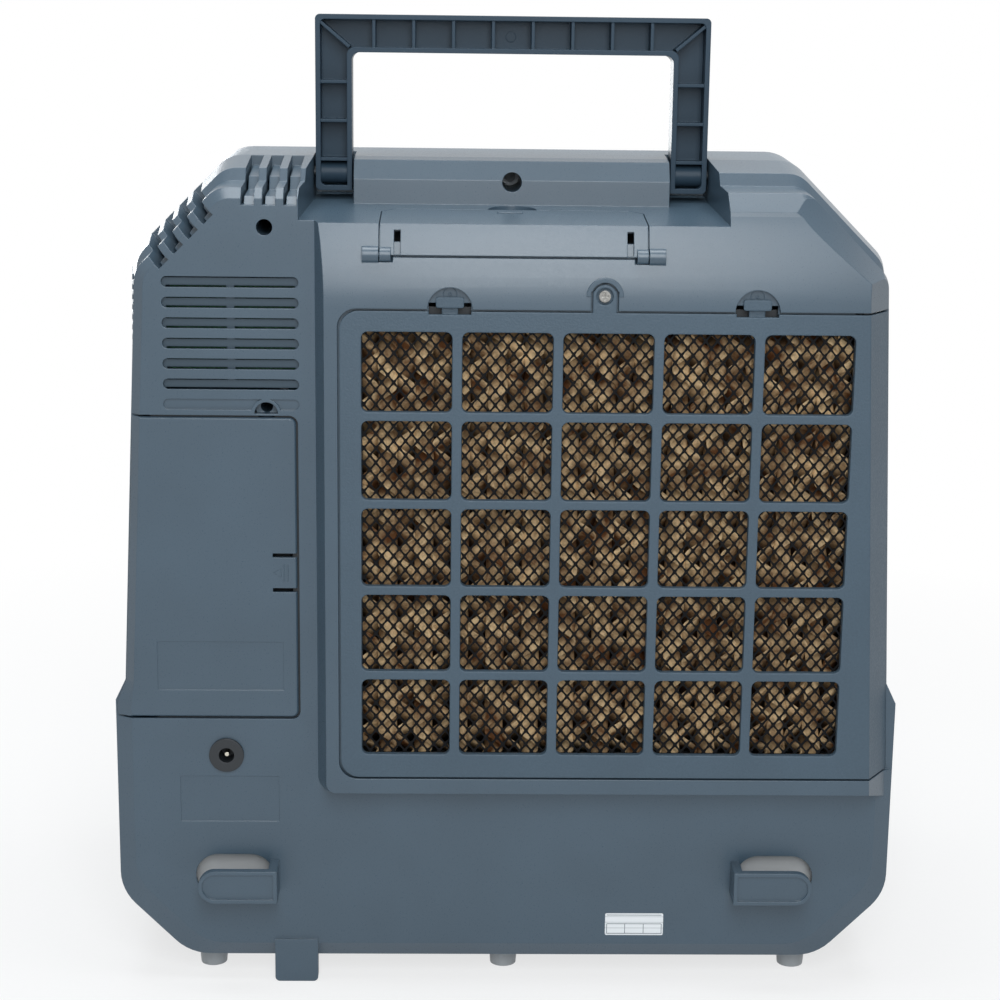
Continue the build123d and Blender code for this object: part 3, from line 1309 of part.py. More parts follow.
hub_core_y = (HUB_BACK_Y, HUB_FRONT_Y)
with BuildPart() as fan_blades:
    add(rod_y(GRILLE_X, GRILLE_Z, *hub_core_y, FAN_HUB_RADIUS))
    fillet(fan_blades.edges().group_by(Axis.Y)[0], radius=FAN_HUB_WALL)
    hub_room_y = (HUB_BACK_Y + FAN_HUB_WALL, HUB_FRONT_Y + WALL)
    add(rod_y(GRILLE_X, GRILLE_Z, *hub_room_y, FAN_HUB_RADIUS - FAN_HUB_WALL), mode=Mode.SUBTRACT)
    fan_axis = Axis((GRILLE_X, 0, GRILLE_Z), (0, 1, 0))
    add([blade.part.rotate(fan_axis, 360 / FAN_BLADES * i) for i in range(FAN_BLADES)])
    add(rod_y(GRILLE_X, GRILLE_Z, *hub_core_y, FAN_HUB_CORE))
    add(rod_y(GRILLE_X, GRILLE_Z, *shrink(hub_core_y, -WALL), SHAFT_RADIUS + PIN_PLAY), mode=Mode.SUBTRACT)
finish(fan_blades, "fan_blades")

# Cap nut that holds the wheel on the shaft
with BuildPart() as fan_nut:
    with BuildSketch(rear_plane(HUB_BACK_Y)):
        with Locations((GRILLE_X, GRILLE_Z)):
            RegularPolygon(NUT_RADIUS, 6)
            Circle(SHAFT_RADIUS + PIN_PLAY, mode=Mode.SUBTRACT)
    extrude(amount=NUT_LENGTH)
finish(fan_nut, "fan_nut")

# Battery bay behind the door, flanged against the wall
bay_x = (BAY_LEFT, DOOR_RIGHT - BAY_MARGIN)
bay_z = (DOOR_BOTTOM + BAY_MARGIN, DOOR_TOP - BAY_MARGIN)
bay_y = (REAR_INNER_Y, REAR_INNER_Y + BAY_DEPTH)
flange_x = (BAY_LEFT - BAY_WALL, DOOR_RIGHT + BAY_FLANGE)
flange_z = (DOOR_BOTTOM - BAY_FLANGE, DOOR_TOP + BAY_FLANGE)
with BuildPart() as battery_bay:
    bay_walls = bar(shrink(bay_x, -BAY_WALL), (bay_y[0], bay_y[1] + BAY_WALL), shrink(bay_z, -BAY_WALL))
    add([bay_walls, bar(flange_x, (REAR_INNER_Y, REAR_INNER_Y + BAY_WALL), flange_z)])
    boss_room = rod_y(*BODY_SCREWS[1], REAR_WALL_Y, bay_y[1], BOSS_RADIUS + REST_GAP)
    add([bar(bay_x, (REAR_WALL_Y, bay_y[1]), bay_z), boss_room], mode=Mode.SUBTRACT)
finish(battery_bay, "battery_bay")

# Rechargeable pack standing in the bay
pack_x = shrink(bay_x, PACK_SIDE_ROOM)
pack_y = (bay_y[1] - PACK_DEPTH, bay_y[1])
pack_z = (bay_z[0], bay_z[1] - PACK_SIDE_ROOM)
with BuildPart() as battery_pack:
    add(bar(pack_x, pack_y, pack_z))
    fillet(battery_pack.edges().filter_by(Axis.Y), radius=PACK_CORNER)
    with BuildSketch(rear_plane(pack_y[0] + PACK_CORNER)):
        with Locations(((pack_x[0] + pack_x[1]) / 2, pack_z[1] - PACK_GRIP_HEIGHT)):
            SlotOverall(PACK_GRIP_WIDTH, PACK_GRIP_HEIGHT)
    extrude(amount=2 * PACK_CORNER, mode=Mode.SUBTRACT)
finish(battery_pack, "battery_pack")

# Battery door: a piece of the rear wall and its bevelled edge, with a snap tongue on the right
with BuildPart() as door_blank:
    edge_y = REAR_WALL_Y + DOOR_EDGE
    extrude(door_outline(BEVEL_Y - HALF_GAP, -HALF_GAP), amount=BEVEL_Y - HALF_GAP - edge_y)
    extrude(door_outline(edge_y, -HALF_GAP), amount=DOOR_EDGE, taper=CORNER_TURN)

with BuildPart() as battery_door:
    add(rear_form(0))
    add(rear_form(WALL), mode=Mode.SUBTRACT)
    add(door_blank.part, mode=Mode.INTERSECT)
    snap_x = (DOOR_RIGHT - DOOR_SNAP_LENGTH, DOOR_RIGHT)
    snap_y = (REAR_WALL_Y - WALL, REAR_INNER_Y + WALL)
    door_cuts = [bar(DOOR_LABEL_X, wall_skin, DOOR_LABEL_Z)]
    for snap_z in (DOOR_SNAP_Z - DOOR_SNAP_GAP / 2, DOOR_SNAP_Z + DOOR_SNAP_GAP / 2):
        door_cuts.append(bar(snap_x, snap_y, (snap_z - DOOR_SNAP_SLOT / 2, snap_z + DOOR_SNAP_SLOT / 2)))
    add(door_cuts, mode=Mode.SUBTRACT)
finish(battery_door, "battery_door")

# Baffle behind the column vents, with the standoffs of the control board
baffle_half = VENT_LENGTH / 2 + BAFFLE_MARGIN
baffle_z = (VENT_ZS[-2] - BAFFLE_MARGIN, VENT_ZS[0] + BAFFLE_MARGIN)
baffle_front_y = REAR_INNER_Y + BAFFLE_THICK
board_back_y = baffle_front_y + STANDOFF_LENGTH
board_mid_z = (baffle_z[0] + baffle_z[1]) / 2
board_z = (board_mid_z - BOARD_SPAN / 2, board_mid_z + BOARD_SPAN / 2)
with BuildPart() as vent_baffle:
    with BuildSketch(rear_plane(baffle_front_y)):
        with Locations((VENT_X, board_mid_z)):
            Rectangle(2 * baffle_half, baffle_z[1] - baffle_z[0])
        with Locations((VENT_X, (VENT_ZS[-2] + VENT_ZS[0]) / 2)):
            with GridLocations(VENT_LENGTH / 2, VENT_PITCH, 2, VENT_COUNT - 2):
                Rectangle(VENT_LENGTH / 2 - BAFFLE_BAR, VENT_PITCH - BAFFLE_BAR, mode=Mode.SUBTRACT)
    extrude(amount=BAFFLE_THICK)
    for standoff_x in (VENT_X - VENT_LENGTH / 2, VENT_X + VENT_LENGTH / 2):
        for standoff_z in shrink(board_z, STANDOFF_RADIUS):
            add(rod_y(standoff_x, standoff_z, REAR_INNER_Y, board_back_y, STANDOFF_RADIUS))
finish(vent_baffle, "vent_baffle")

# Control board with its heat sink and capacitors
board_front_y = board_back_y + BOARD_THICK
with BuildPart() as control_board:
    add(bar((VENT_X - BOARD_HALF, VENT_X + BOARD_HALF), (board_back_y, board_front_y), board_z))
    sink_x = (VENT_X - HEATSINK_SIZE, VENT_X)
    sink_z = (board_mid_z - HEATSINK_SIZE / 2, board_mid_z + HEATSINK_SIZE / 2)
    add(bar(sink_x, (board_front_y, board_front_y + HEATSINK_HEIGHT), sink_z))
    for capacitor_z in sink_z:
        capacitor_y = (board_front_y, board_front_y + CAPACITOR_HEIGHT)
        add(rod_y(VENT_X + HEATSINK_SIZE / 2, capacitor_z, *capacitor_y, CAPACITOR_RADIUS))
finish(control_board, "control_board")

# Charging socket with its centre pin
socket_floor_y = REAR_WALL_Y - SOCKET_FLANGE_THICK + SOCKET_HOLE_DEPTH
with BuildPart() as charge_socket:
    add(rod_y(SOCKET_X, SOCKET_Z, REAR_WALL_Y - SOCKET_FLANGE_THICK, REAR_WALL_Y, SOCKET_FLANGE_RADIUS))
    add(rod_y(SOCKET_X, SOCKET_Z, REAR_WALL_Y, REAR_WALL_Y + SOCKET_LENGTH, SOCKET_BARREL_RADIUS))
    add(rod_y(SOCKET_X, SOCKET_Z, outside_y, socket_floor_y, SOCKET_HOLE_RADIUS), mode=Mode.SUBTRACT)
finish(charge_socket, "charge_socket")

with BuildPart() as socket_pin:
    add(rod_y(SOCKET_X, SOCKET_Z, socket_floor_y - SOCKET_PIN_LENGTH, socket_floor_y, SOCKET_PIN_RADIUS))
finish(socket_pin, "socket_pin")

# Carry handle: channel open to the back, ribbed inside
handle_front_y = HANDLE_PIVOT_Y + HANDLE_THICK / 2
leg_inner = HANDLE_HALF - HANDLE_LEG
leg_mid = HANDLE_HALF - HANDLE_LEG / 2
grip_bottom = HANDLE_TOP - HANDLE_GRIP


def handle_outline(y, inset):
    """Outline of the handle at one Y, drawn in by inset."""
    with BuildSketch(rear_plane(y)) as outline:
        with Locations((0, (HANDLE_TOP + HANDLE_FOOT_Z) / 2)):
            Rectangle(2 * (HANDLE_HALF - inset), HANDLE_TOP - HANDLE_FOOT_Z - 2 * inset)
        fillet(outline.vertices(), radius=HANDLE_WALL)
        with Locations((0, grip_bottom + inset - HANDLE_TOP / 2)):
            Rectangle(2 * (leg_inner + inset), HANDLE_TOP, mode=Mode.SUBTRACT)
        inner_top = outline.vertices().filter_by_position(Axis.Y, grip_bottom, grip_bottom + 2 * inset)
        fillet(inner_top, radius=HANDLE_CORNER)
    return outline.sketch


with BuildPart() as handle_ribs:
    with BuildSketch(rear_plane(handle_front_y - HANDLE_SKIN)):
        with Locations((0, HANDLE_TOP - HANDLE_GRIP / 2)):
            with GridLocations(HANDLE_RIB_PITCH, 1, HANDLE_GRIP_RIBS, 1):
                Rectangle(HANDLE_RIB, HANDLE_GRIP - HANDLE_WALL)
        for side in (-1, 1):
            with Locations((side * leg_mid, HANDLE_LEG_RIB_Z)):
                with GridLocations(1, HANDLE_LEG_RIB_PITCH, 1, HANDLE_LEG_RIBS):
                    Rectangle(HANDLE_LEG - HANDLE_WALL, HANDLE_RIB)
            with Locations((side * leg_mid, HANDLE_TOP - HANDLE_GRIP / 2)):
                Rectangle(HANDLE_LEG + HANDLE_WALL, HANDLE_RIB, rotation=side * HANDLE_CORNER_ANGLE)
    extrude(amount=HANDLE_THICK - HANDLE_SKIN - HANDLE_RIB_SINK)
    for side in (-1, 1):
        rib_x = sorted((side * (leg_inner + HANDLE_RIB), side * (HANDLE_HALF - HANDLE_RIB)))
        add(rod_x(rib_x[0], rib_x[1], HANDLE_PIVOT_Y, HANDLE_PIVOT_Z, HANDLE_BOSS_RADIUS))

with BuildPart() as carry_handle:
    extrude(handle_outline(handle_front_y, 0), amount=HANDLE_THICK)
    skin_y = handle_front_y - HANDLE_SKIN
    extrude(handle_outline(skin_y, HANDLE_WALL), amount=HANDLE_THICK, mode=Mode.SUBTRACT)
    add(handle_ribs.part)
    pin_bores = mirrored_rods(leg_inner - WALL, RECESS_HALF, HANDLE_PIVOT_Y, HANDLE_PIVOT_Z, pivot_bore)
    add(pin_bores, mode=Mode.SUBTRACT)
finish(carry_handle, "carry_handle")

# Pins that the handle swings on, held in the housing
with BuildPart() as handle_pins:
    add(mirrored_rods(leg_inner + REST_GAP, pin_hold, HANDLE_PIVOT_Y, HANDLE_PIVOT_Z, HANDLE_PIN_RADIUS))
finish(handle_pins, "handle_pins")

# Fill lid: bent plate with two knuckles at its lower edge
with BuildPart() as fill_lid:
    add(lid_band(0, LID_THICK, LID_HALF, LID_LOW_Z, LID_REACH_DEPTH, LID_CORNER))
    slot_z = (LID_PIVOT_Z, LID_SLOT_TOP_Z)
    for slot_x in (-LID_SLOT_X, LID_SLOT_X):
        add(bar((slot_x - slot_half, slot_x + slot_half), slot_y, slot_z), mode=Mode.SUBTRACT)
    knuckle_start = LID_HALF - LID_KNUCKLE_LENGTH
    add(mirrored_rods(knuckle_start, LID_HALF, LID_PIVOT_Y, LID_PIVOT_Z, LID_KNUCKLE_RADIUS))
    add(mirrored_rods(knuckle_start, LID_HALF + LID_PIN_LENGTH, LID_PIVOT_Y, LID_PIVOT_Z, LID_PIN_RADIUS))
finish(fill_lid, "fill_lid")

# Intake grille: five by five drafted openings, screw tongue and two latch tabs
panel_back_y = deep(PANEL_THICK)
with BuildPart() as grille_holes:
    with BuildSketch(rear_plane(FACE_Y)):
        with Locations((GRILLE_X, GRILLE_Z)):
            with GridLocations(GRILLE_PITCH_X, GRILLE_PITCH_Z, GRILLE_COLUMNS, GRILLE_ROWS):
                RectangleRounded(GRILLE_HOLE_X, GRILLE_HOLE_Z, GRILLE_HOLE_RADIUS)
    extrude(amount=-PANEL_THICK, taper=GRILLE_HOLE_DRAFT)

with BuildPart() as latch_tabs:
    neck_back = panel_back_y - LATCH_NECK_LAP
    with BuildSketch(rear_plane(panel_back_y)):
        with Locations(*((latch_x, PANEL_TOP + LATCH_HEAD_RISE) for latch_x in LATCH_XS)):
            RectangleRounded(*LATCH_HEAD, LATCH_HEAD_CORNER)
    extrude(amount=PANEL_THICK - LATCH_HEAD_DEPTH)
    for latch_x in LATCH_XS:
        neck_x = (latch_x - LATCH_NECK_WIDTH / 2, latch_x + LATCH_NECK_WIDTH / 2)
        neck_z = (PANEL_TOP - LATCH_MOUTH_DROP - WALL, PANEL_TOP + LATCH_SLOT_RISE - REST_GAP)
        add(bar(neck_x, (neck_back, neck_back + LATCH_NECK_THICK), neck_z))

with BuildPart() as rear_grille:
    add(block_form(0))
    add(block_form(PANEL_THICK, reach=BLOCK_RISE), mode=Mode.SUBTRACT)
    extrude(panel_outline(BEVEL_Y - HALF_GAP, -HALF_GAP), amount=BEVEL_Y - FACE_Y, mode=Mode.INTERSECT)
    mouth_y = (outside_y, POCKET_Y)
    grille_cuts = [grille_holes.part]
    for latch_x in LATCH_XS:
        mouth_x = (latch_x - LATCH_SLOT_WIDTH / 2, latch_x + LATCH_SLOT_WIDTH / 2)
        grille_cuts.append(bar(mouth_x, mouth_y, (PANEL_TOP - LATCH_MOUTH_DROP, PANEL_TOP)))
    screw_seat_y = panel_back_y - TONGUE_SEAT
    tongue_x = (TONGUE_X - TONGUE_WIDTH, TONGUE_X + TONGUE_WIDTH)
    tongue_z = (PANEL_TOP, TONGUE_SCREW_Z + TONGUE_WIDTH)
    grille_cuts.append(rod_y(TONGUE_X, TONGUE_SCREW_Z, outside_y, POCKET_Y, SCREW_RADIUS + PIN_PLAY))
    grille_cuts.append(rod_y(TONGUE_X, TONGUE_SCREW_Z, outside_y, screw_seat_y, TONGUE_BORE))
    grille_cuts.append(bar(tongue_x, (panel_back_y, BEVEL_Y), tongue_z))
    add(grille_cuts, mode=Mode.SUBTRACT)
    add(latch_tabs.part)
finish(rear_grille, "rear_grille")

# Dust net clipped to the back of the grille
net_width = FRAME_RIGHT - FRAME_LEFT
net_height = FRAME_TOP - FRAME_BOTTOM
cell_x = (net_width - 2 * NET_BORDER) / NET_COLUMNS
cell_z = (net_height - 2 * NET_BORDER) / NET_ROWS
with BuildPart() as dust_net:
    with BuildSketch(rear_plane(panel_back_y + NET_THICK)):
        with Locations(((FRAME_LEFT + FRAME_RIGHT) / 2, (FRAME_BOTTOM + FRAME_TOP) / 2)):
            Rectangle(net_width, net_height)
            for columns, rows in ((NET_COLUMNS, NET_ROWS), (NET_COLUMNS - 1, NET_ROWS - 1)):
                with GridLocations(cell_x, cell_z, columns, rows):
                    half_x = cell_x / 2 - NET_STRAND
                    half_z = cell_z / 2 - NET_STRAND
                    Polygon((half_x, 0), (0, half_z), (-half_x, 0), (0, -half_z), mode=Mode.SUBTRACT)
    extrude(amount=NET_THICK)
finish(dust_net, "dust_net")

# Cross-headed screw through the grille's tongue
with BuildPart() as grille_screw:
    add(rod_y(TONGUE_X, TONGUE_SCREW_Z, screw_seat_y - SCREW_HEAD_THICK, screw_seat_y, SCREW_HEAD_RADIUS))
    add(rod_y(TONGUE_X, TONGUE_SCREW_Z, screw_seat_y, deep(MOUTH_BACK_DEPTH), SCREW_RADIUS))
    with BuildSketch(rear_plane(screw_seat_y - SCREW_HEAD_THICK / 2)):
        with Locations((TONGUE_X, TONGUE_SCREW_Z)):
            Rectangle(SCREW_CROSS_LENGTH, SCREW_CROSS)
            Rectangle(SCREW_CROSS, SCREW_CROSS_LENGTH)
    extrude(amount=SCREW_HEAD_THICK, mode=Mode.SUBTRACT)
finish(grille_screw, "grille_screw")


def louvre_vane(z):
    """Vane at one height: blade, slotted crank plate at its right end and a pin at each end."""
    slot_y = VANE_PIVOT_Y - CRANK_RADIUS
    edge_y = VANE_PIVOT_Y - VANE_CHORD / 2
    with BuildPart() as vane:
        with BuildSketch(side_plane(VANE_LEFT)):
            with Locations((VANE_PIVOT_Y, z)):
                SlotOverall(VANE_CHORD, VANE_THICK)
        extrude(amount=VANE_RIGHT - VANE_LEFT)
        with BuildSketch(side_plane(VANE_RIGHT)):
            with Locations(((edge_y + VANE_PIVOT_Y + CRANK_HEIGHT / 2) / 2, z)):
                Rectangle(VANE_PIVOT_Y + CRANK_HEIGHT / 2 - edge_y, CRANK_HEIGHT)
            with Locations((slot_y, z)):
                Circle(CRANK_SLOT / 2, mode=Mode.SUBTRACT)
            with Locations(((slot_y + edge_y) / 2 - HALF_GAP, z)):
                Rectangle(slot_y - edge_y + SHUT_GAP, CRANK_SLOT, mode=Mode.SUBTRACT)
        extrude(amount=CRANK_THICK)
        add(rod_x(VANE_PIN_LEFT, VANE_LEFT, VANE_PIVOT_Y, z, VANE_PIN_RADIUS))
        add(rod_x(VANE_RIGHT, VANE_PIN_RIGHT, VANE_PIVOT_Y, z, VANE_PIN_RADIUS))
    return vane


# Outlet vanes, from the lowest to the highest
for vane_index, vane_z in enumerate(VANE_ZS):
    finish(louvre_vane(vane_z), f"louvre_vane_{vane_index + 1}")

# Link that tilts the vanes together
link_left = VANE_RIGHT + CRANK_THICK + LINK_GAP
link_y = VANE_PIVOT_Y - CRANK_RADIUS
with BuildPart() as louvre_link:
    link_z = shrink((VANE_ZS[0], VANE_ZS[-1]), -LINK_WIDTH)
    link_depth = (link_y - LINK_WIDTH / 2, link_y + LINK_WIDTH / 2)
    add(bar((link_left, link_left + LINK_THICK), link_depth, link_z))
    add([rod_x(VANE_RIGHT + REST_GAP, link_left, link_y, z, CRANK_PIN_RADIUS) for z in VANE_ZS])
finish(louvre_link, "louvre_link")

# Guard behind the vanes, against the end of the collar
with BuildPart() as outlet_guard:
    with BuildSketch(rear_plane(COLLAR_BACK_Y)):
        with Locations((GRILLE_X, GRILLE_Z)):
            RectangleRounded(collar_width, collar_height, OUTLET_RADIUS + COLLAR_WALL)
            RectangleRounded(OUTLET_WIDTH, OUTLET_HEIGHT, OUTLET_RADIUS, mode=Mode.SUBTRACT)
            with GridLocations(OUTLET_WIDTH / (GUARD_BARS + 1), 1, GUARD_BARS, 1):
                Rectangle(GUARD_BAR_WIDTH, OUTLET_HEIGHT + COLLAR_WALL)
            Rectangle(OUTLET_WIDTH + COLLAR_WALL, GUARD_BAR_WIDTH)
    extrude(amount=GUARD_THICK)
finish(outlet_guard, "outlet_guard")

# Control panel: plate on the front wall with a rim that fits its window
panel_face_y = FRONT_WALL_Y + CONTROL_RISE
with BuildPart() as control_panel:
    with BuildSketch(rear_plane(panel_face_y)):
        with Locations((CONTROL_X, CONTROL_Z)):
            RectangleRounded(CONTROL_WIDTH, CONTROL_HEIGHT, CONTROL_RIM)
        with Locations(*((CONTROL_X, z) for z in BUTTON_ZS)):
            Circle(BUTTON_RADIUS + REST_GAP, mode=Mode.SUBTRACT)
    extrude(amount=CONTROL_RISE)
    with BuildSketch(rear_plane(FRONT_WALL_Y)):
        with Locations((CONTROL_X, CONTROL_Z)):
            Rectangle(2 * (window_half_x - REST_GAP), 2 * (window_half_z - REST_GAP))
            Rectangle(2 * (window_half_x - WALL), 2 * (window_half_z - WALL), mode=Mode.SUBTRACT)
    extrude(amount=2 * WALL)
finish(control_panel, "control_panel")

# Switch board behind the buttons
switch_face_y = SWITCH_BOARD_Y + SWITCH_HEIGHT
with BuildPart() as switch_board:
    board_x = (CONTROL_X - CONTROL_WIDTH / 2, CONTROL_X + CONTROL_WIDTH / 2)
    board_span_z = (CONTROL_Z - CONTROL_HEIGHT / 2, CONTROL_Z + CONTROL_HEIGHT / 2)
    add(bar(board_x, (SWITCH_BOARD_Y - BOARD_THICK, SWITCH_BOARD_Y), board_span_z))
    half_switch = SWITCH_SIZE / 2
    switch_x = (CONTROL_X - half_switch, CONTROL_X + half_switch)
    for button_z in BUTTON_ZS:
        switch_z = (button_z - half_switch, button_z + half_switch)
        add(bar(switch_x, (SWITCH_BOARD_Y, switch_face_y), switch_z))
        add(rod_y(CONTROL_X, button_z, switch_face_y, switch_face_y + SWITCH_PLUNGER, SWITCH_PLUNGER))
finish(switch_board, "switch_board")

# Push buttons: cap through the panel, flange behind it and stem towards the switch
for button_name, button_z in zip(("power", "speed", "pump"), BUTTON_ZS):
    with BuildPart() as button:
        flange_y = FRONT_WALL_Y - BUTTON_FLANGE
        add(rod_y(CONTROL_X, button_z, FRONT_WALL_Y, FRONT_Y, BUTTON_RADIUS))
        fillet(button.edges().group_by(Axis.Y)[-1], radius=FRONT_Y - panel_face_y - REST_GAP)
        add(rod_y(CONTROL_X, button_z, flange_y, FRONT_WALL_Y, BUTTON_RADIUS + BUTTON_FLANGE))
        add(rod_y(CONTROL_X, button_z, flange_y - BUTTON_STEM, flange_y, BUTTON_STEM_RADIUS))
    finish(button, f"{button_name}_button")
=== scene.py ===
"""Studio scene of a portable evaporative air cooler, seen from its intake side.

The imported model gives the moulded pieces; this file dresses them, weaves the dust net, stacks the wet pad
and adds the small printed and stuck-on details. Lengths are in metres, X right, Y from back to front, Z up.
"""

import json
import logging
import math
from dataclasses import dataclass, field
from enum import Enum
from typing import Any, Iterable

import bmesh
import bpy
from mathutils import Matrix, Vector
from mathutils.bvhtree import BVHTree

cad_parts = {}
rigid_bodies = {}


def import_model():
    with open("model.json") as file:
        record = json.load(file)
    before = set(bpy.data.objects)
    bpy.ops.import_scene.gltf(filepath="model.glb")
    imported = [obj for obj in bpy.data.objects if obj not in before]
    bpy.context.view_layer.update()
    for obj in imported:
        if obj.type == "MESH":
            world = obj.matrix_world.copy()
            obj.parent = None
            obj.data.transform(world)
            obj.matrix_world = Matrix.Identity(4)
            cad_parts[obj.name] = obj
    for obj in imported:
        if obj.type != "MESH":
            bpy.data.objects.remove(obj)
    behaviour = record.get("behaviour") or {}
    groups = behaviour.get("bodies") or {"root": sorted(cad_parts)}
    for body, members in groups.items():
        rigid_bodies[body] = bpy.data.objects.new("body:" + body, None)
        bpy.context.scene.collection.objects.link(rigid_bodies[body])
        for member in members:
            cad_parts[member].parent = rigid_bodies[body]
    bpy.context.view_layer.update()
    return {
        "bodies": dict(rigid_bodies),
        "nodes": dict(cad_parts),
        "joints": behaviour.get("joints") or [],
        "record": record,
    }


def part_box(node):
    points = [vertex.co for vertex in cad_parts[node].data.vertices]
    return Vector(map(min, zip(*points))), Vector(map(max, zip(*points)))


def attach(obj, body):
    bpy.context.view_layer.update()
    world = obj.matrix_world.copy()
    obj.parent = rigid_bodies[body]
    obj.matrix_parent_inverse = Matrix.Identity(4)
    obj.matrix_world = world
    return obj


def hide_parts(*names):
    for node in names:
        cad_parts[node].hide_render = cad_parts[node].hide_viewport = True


LOG = logging.getLogger("air_cooler")
MM = 0.001
Colour = tuple[float, float, float, float]
Place = tuple[float, float, float]
Spot = tuple[float, float]

# Sockets of the colour Mix node, by their place among its inputs and outputs
MIX_AMOUNT = 0
MIX_FIRST = 6
MIX_SECOND = 7
MIX_COLOUR = 2

# Bands that the wave pattern draws in a metre at a scale of one
WAVE_BANDS = 3.2

# Distance within which a cut takes a vertex to lie on its plane
CUT_TOLERANCE = 1e-7


class Surface(Enum):
    """Ways a moulded surface is finished in the tool: size, depth and contrast of its grain."""

    SATIN = (0.55 * MM, 0.012 * MM, 0.10)
    SPARK = (1.05 * MM, 0.17 * MM, 0.24)
    GLOSS = (2.50 * MM, 0.003 * MM, 0.10)


def shade(code: str, gain: float = 1.0) -> Colour:
    """Turn a written colour into linear light.

    Args:
        code: Six hexadecimal digits.
        gain: Factor on the light.

    Returns:
        Linear red, green, blue and alpha.
    """
    levels = [int(code[i : i + 2], 16) / 255 for i in (0, 2, 4)]
    linear = [v / 12.92 if v <= 0.04045 else ((v + 0.055) / 1.055) ** 2.4 for v in levels]
    return (linear[0] * gain, linear[1] * gain, linear[2] * gain, 1.0)


class ShaderSheet:
    """One material under construction: adds shader nodes and joins their sockets."""

    def __init__(self, name: str) -> None:
        """Start a material with an empty tree, a Principled shader and an output.

        Args:
            name: Name of the material.
        """
        self.material = bpy.data.materials.new(name)
        self.material.use_nodes = True
        self.tree = self.material.node_tree
        self.tree.nodes.clear()
        self.output = self.tree.nodes.new("ShaderNodeOutputMaterial")
        self.shader = self.tree.nodes.new("ShaderNodeBsdfPrincipled")
        self.join(self.shader.outputs["BSDF"], self.output.inputs["Surface"])
        self.place = self.tree.nodes.new("ShaderNodeTexCoord").outputs["Object"]

    def join(self, source: Any, target: Any) -> None:
        """Link an output socket to an input socket."""
        self.tree.links.new(source, target)

    def feed(self, socket: Any, value: Any) -> None:
        """Fill an input socket.

        Args:
            socket: The input.
            value: An output socket to link, or a plain value to set.
        """
        if isinstance(value, bpy.types.NodeSocket):
            self.join(value, socket)
        else:
            socket.default_value = value

    def add(self, kind: str, **sockets: Any) -> Any:
        """Add a shader node and fill its inputs.

        Args:
            kind: Node type without the ShaderNode prefix.
            sockets: Input names, with _ for blanks, and a value or an output socket for each.

        Returns:
            The new node.
        """
        node = self.tree.nodes.new("ShaderNode" + kind)
        for key, value in sockets.items():
            self.feed(node.inputs[key.replace("_", " ")], value)
        return node

    def stretch(self, scale: Place, turn: Place = (0.0, 0.0, 0.0)) -> Any:
        """Object coordinates scaled by axis and turned, as an output socket."""
        mapping = self.add("Mapping", Vector=self.place, Scale=scale, Rotation=turn)
        return mapping.outputs["Vector"]

    def noise(self, size: float, detail: float = 2.0, where: Any = None) -> Any:
        """Cloudy pattern.

        Args:
            size: Size of a cloud in metres.
            detail: Octaves of finer clouds.
            where: Coordinates, the object's own when left out.

        Returns:
            Socket with values around a half.
        """
        vector = self.place if where is None else where
        node = self.add("TexNoise", Vector=vector, Scale=1.0 / size, Detail=detail, Roughness=0.55)
        return node.outputs["Fac"]

    def span(self, value: Any, low: float, high: float, start: float = 0.3, end: float = 0.7) -> Any:
        """Map a pattern from start..end to low..high."""
        node = self.add("MapRange", Value=value, From_Min=start, From_Max=end, To_Min=low, To_Max=high)
        return node.outputs["Result"]

    def blend(self, amount: Any, first: Any, second: Any) -> Any:
        """Mix two colours.

        Args:
            amount: Share of the second colour.
            first: Colour at an amount of zero.
            second: Colour at an amount of one.

        Returns:
            Socket with the mixed colour.
        """
        node = self.add("Mix")
        node.data_type = "RGBA"
        self.feed(node.inputs[MIX_AMOUNT], amount)
        self.feed(node.inputs[MIX_FIRST], first)
        self.feed(node.inputs[MIX_SECOND], second)
        return node.outputs[MIX_COLOUR]

    def times(self, first: Any, second: Any) -> Any:
        """Multiply two values.

        Args:
            first: A value or an output socket.
            second: A value or an output socket.

        Returns:
            Socket with the product.
        """
        node = self.add("Math")
        node.operation = "MULTIPLY"
        for socket, value in zip(node.inputs, (first, second)):
            self.feed(socket, value)
        return node.outputs[0]

    def soft_edge(self, radius: float) -> Any:
        """Round the edges of a moulding.

        Args:
            radius: Radius of the rounding.

        Returns:
            Socket with the rounded normal.
        """
        node = self.add("Bevel", Radius=radius)
        node.samples = 6
        return node.outputs["Normal"]

    def edge_highlight_and_wear_mask(self, normal: Any) -> Any:
        """Find the rounded edges, where plastic gets a painted highlight and paint wears through to bare
        metal.

        Args:
            normal: Socket with the rounded normal.

        Returns:
            Socket that is one along rounded edges and zero on the flats.
        """
        true_normal = self.add("NewGeometry").outputs["Normal"]
        dot = self.add("VectorMath")
        dot.operation = "DOT_PRODUCT"
        self.join(normal, dot.inputs[0])
        self.join(true_normal, dot.inputs[1])
        return self.span(dot.outputs["Value"], 1.0, 0.0, 0.80, 0.985)

    def relief(self, height: Any, depth: float, normal: Any = None) -> Any:
        """Raise a pattern as fine relief.

        Args:
            height: Socket with the pattern.
            depth: Depth of the relief in metres.
            normal: Socket with a normal to start from, the surface's own when left out.

        Returns:
            Socket with the new normal.
        """
        node = self.add("Bump", Height=height, Distance=depth, Strength=1.0)
        if normal is not None:
            self.join(normal, node.inputs["Normal"])
        return node.outputs["Normal"]

    def fit(self, **sockets: Any) -> bpy.types.Material:
        """Fill the Principled shader's inputs and hand the material over.

        Args:
            sockets: Input names, with _ for blanks, and a value or an output socket for each.

        Returns:
            The finished material.
        """
        for key, value in sockets.items():
            self.feed(self.shader.inputs[key.replace("_", " ")], value)
        return self.material

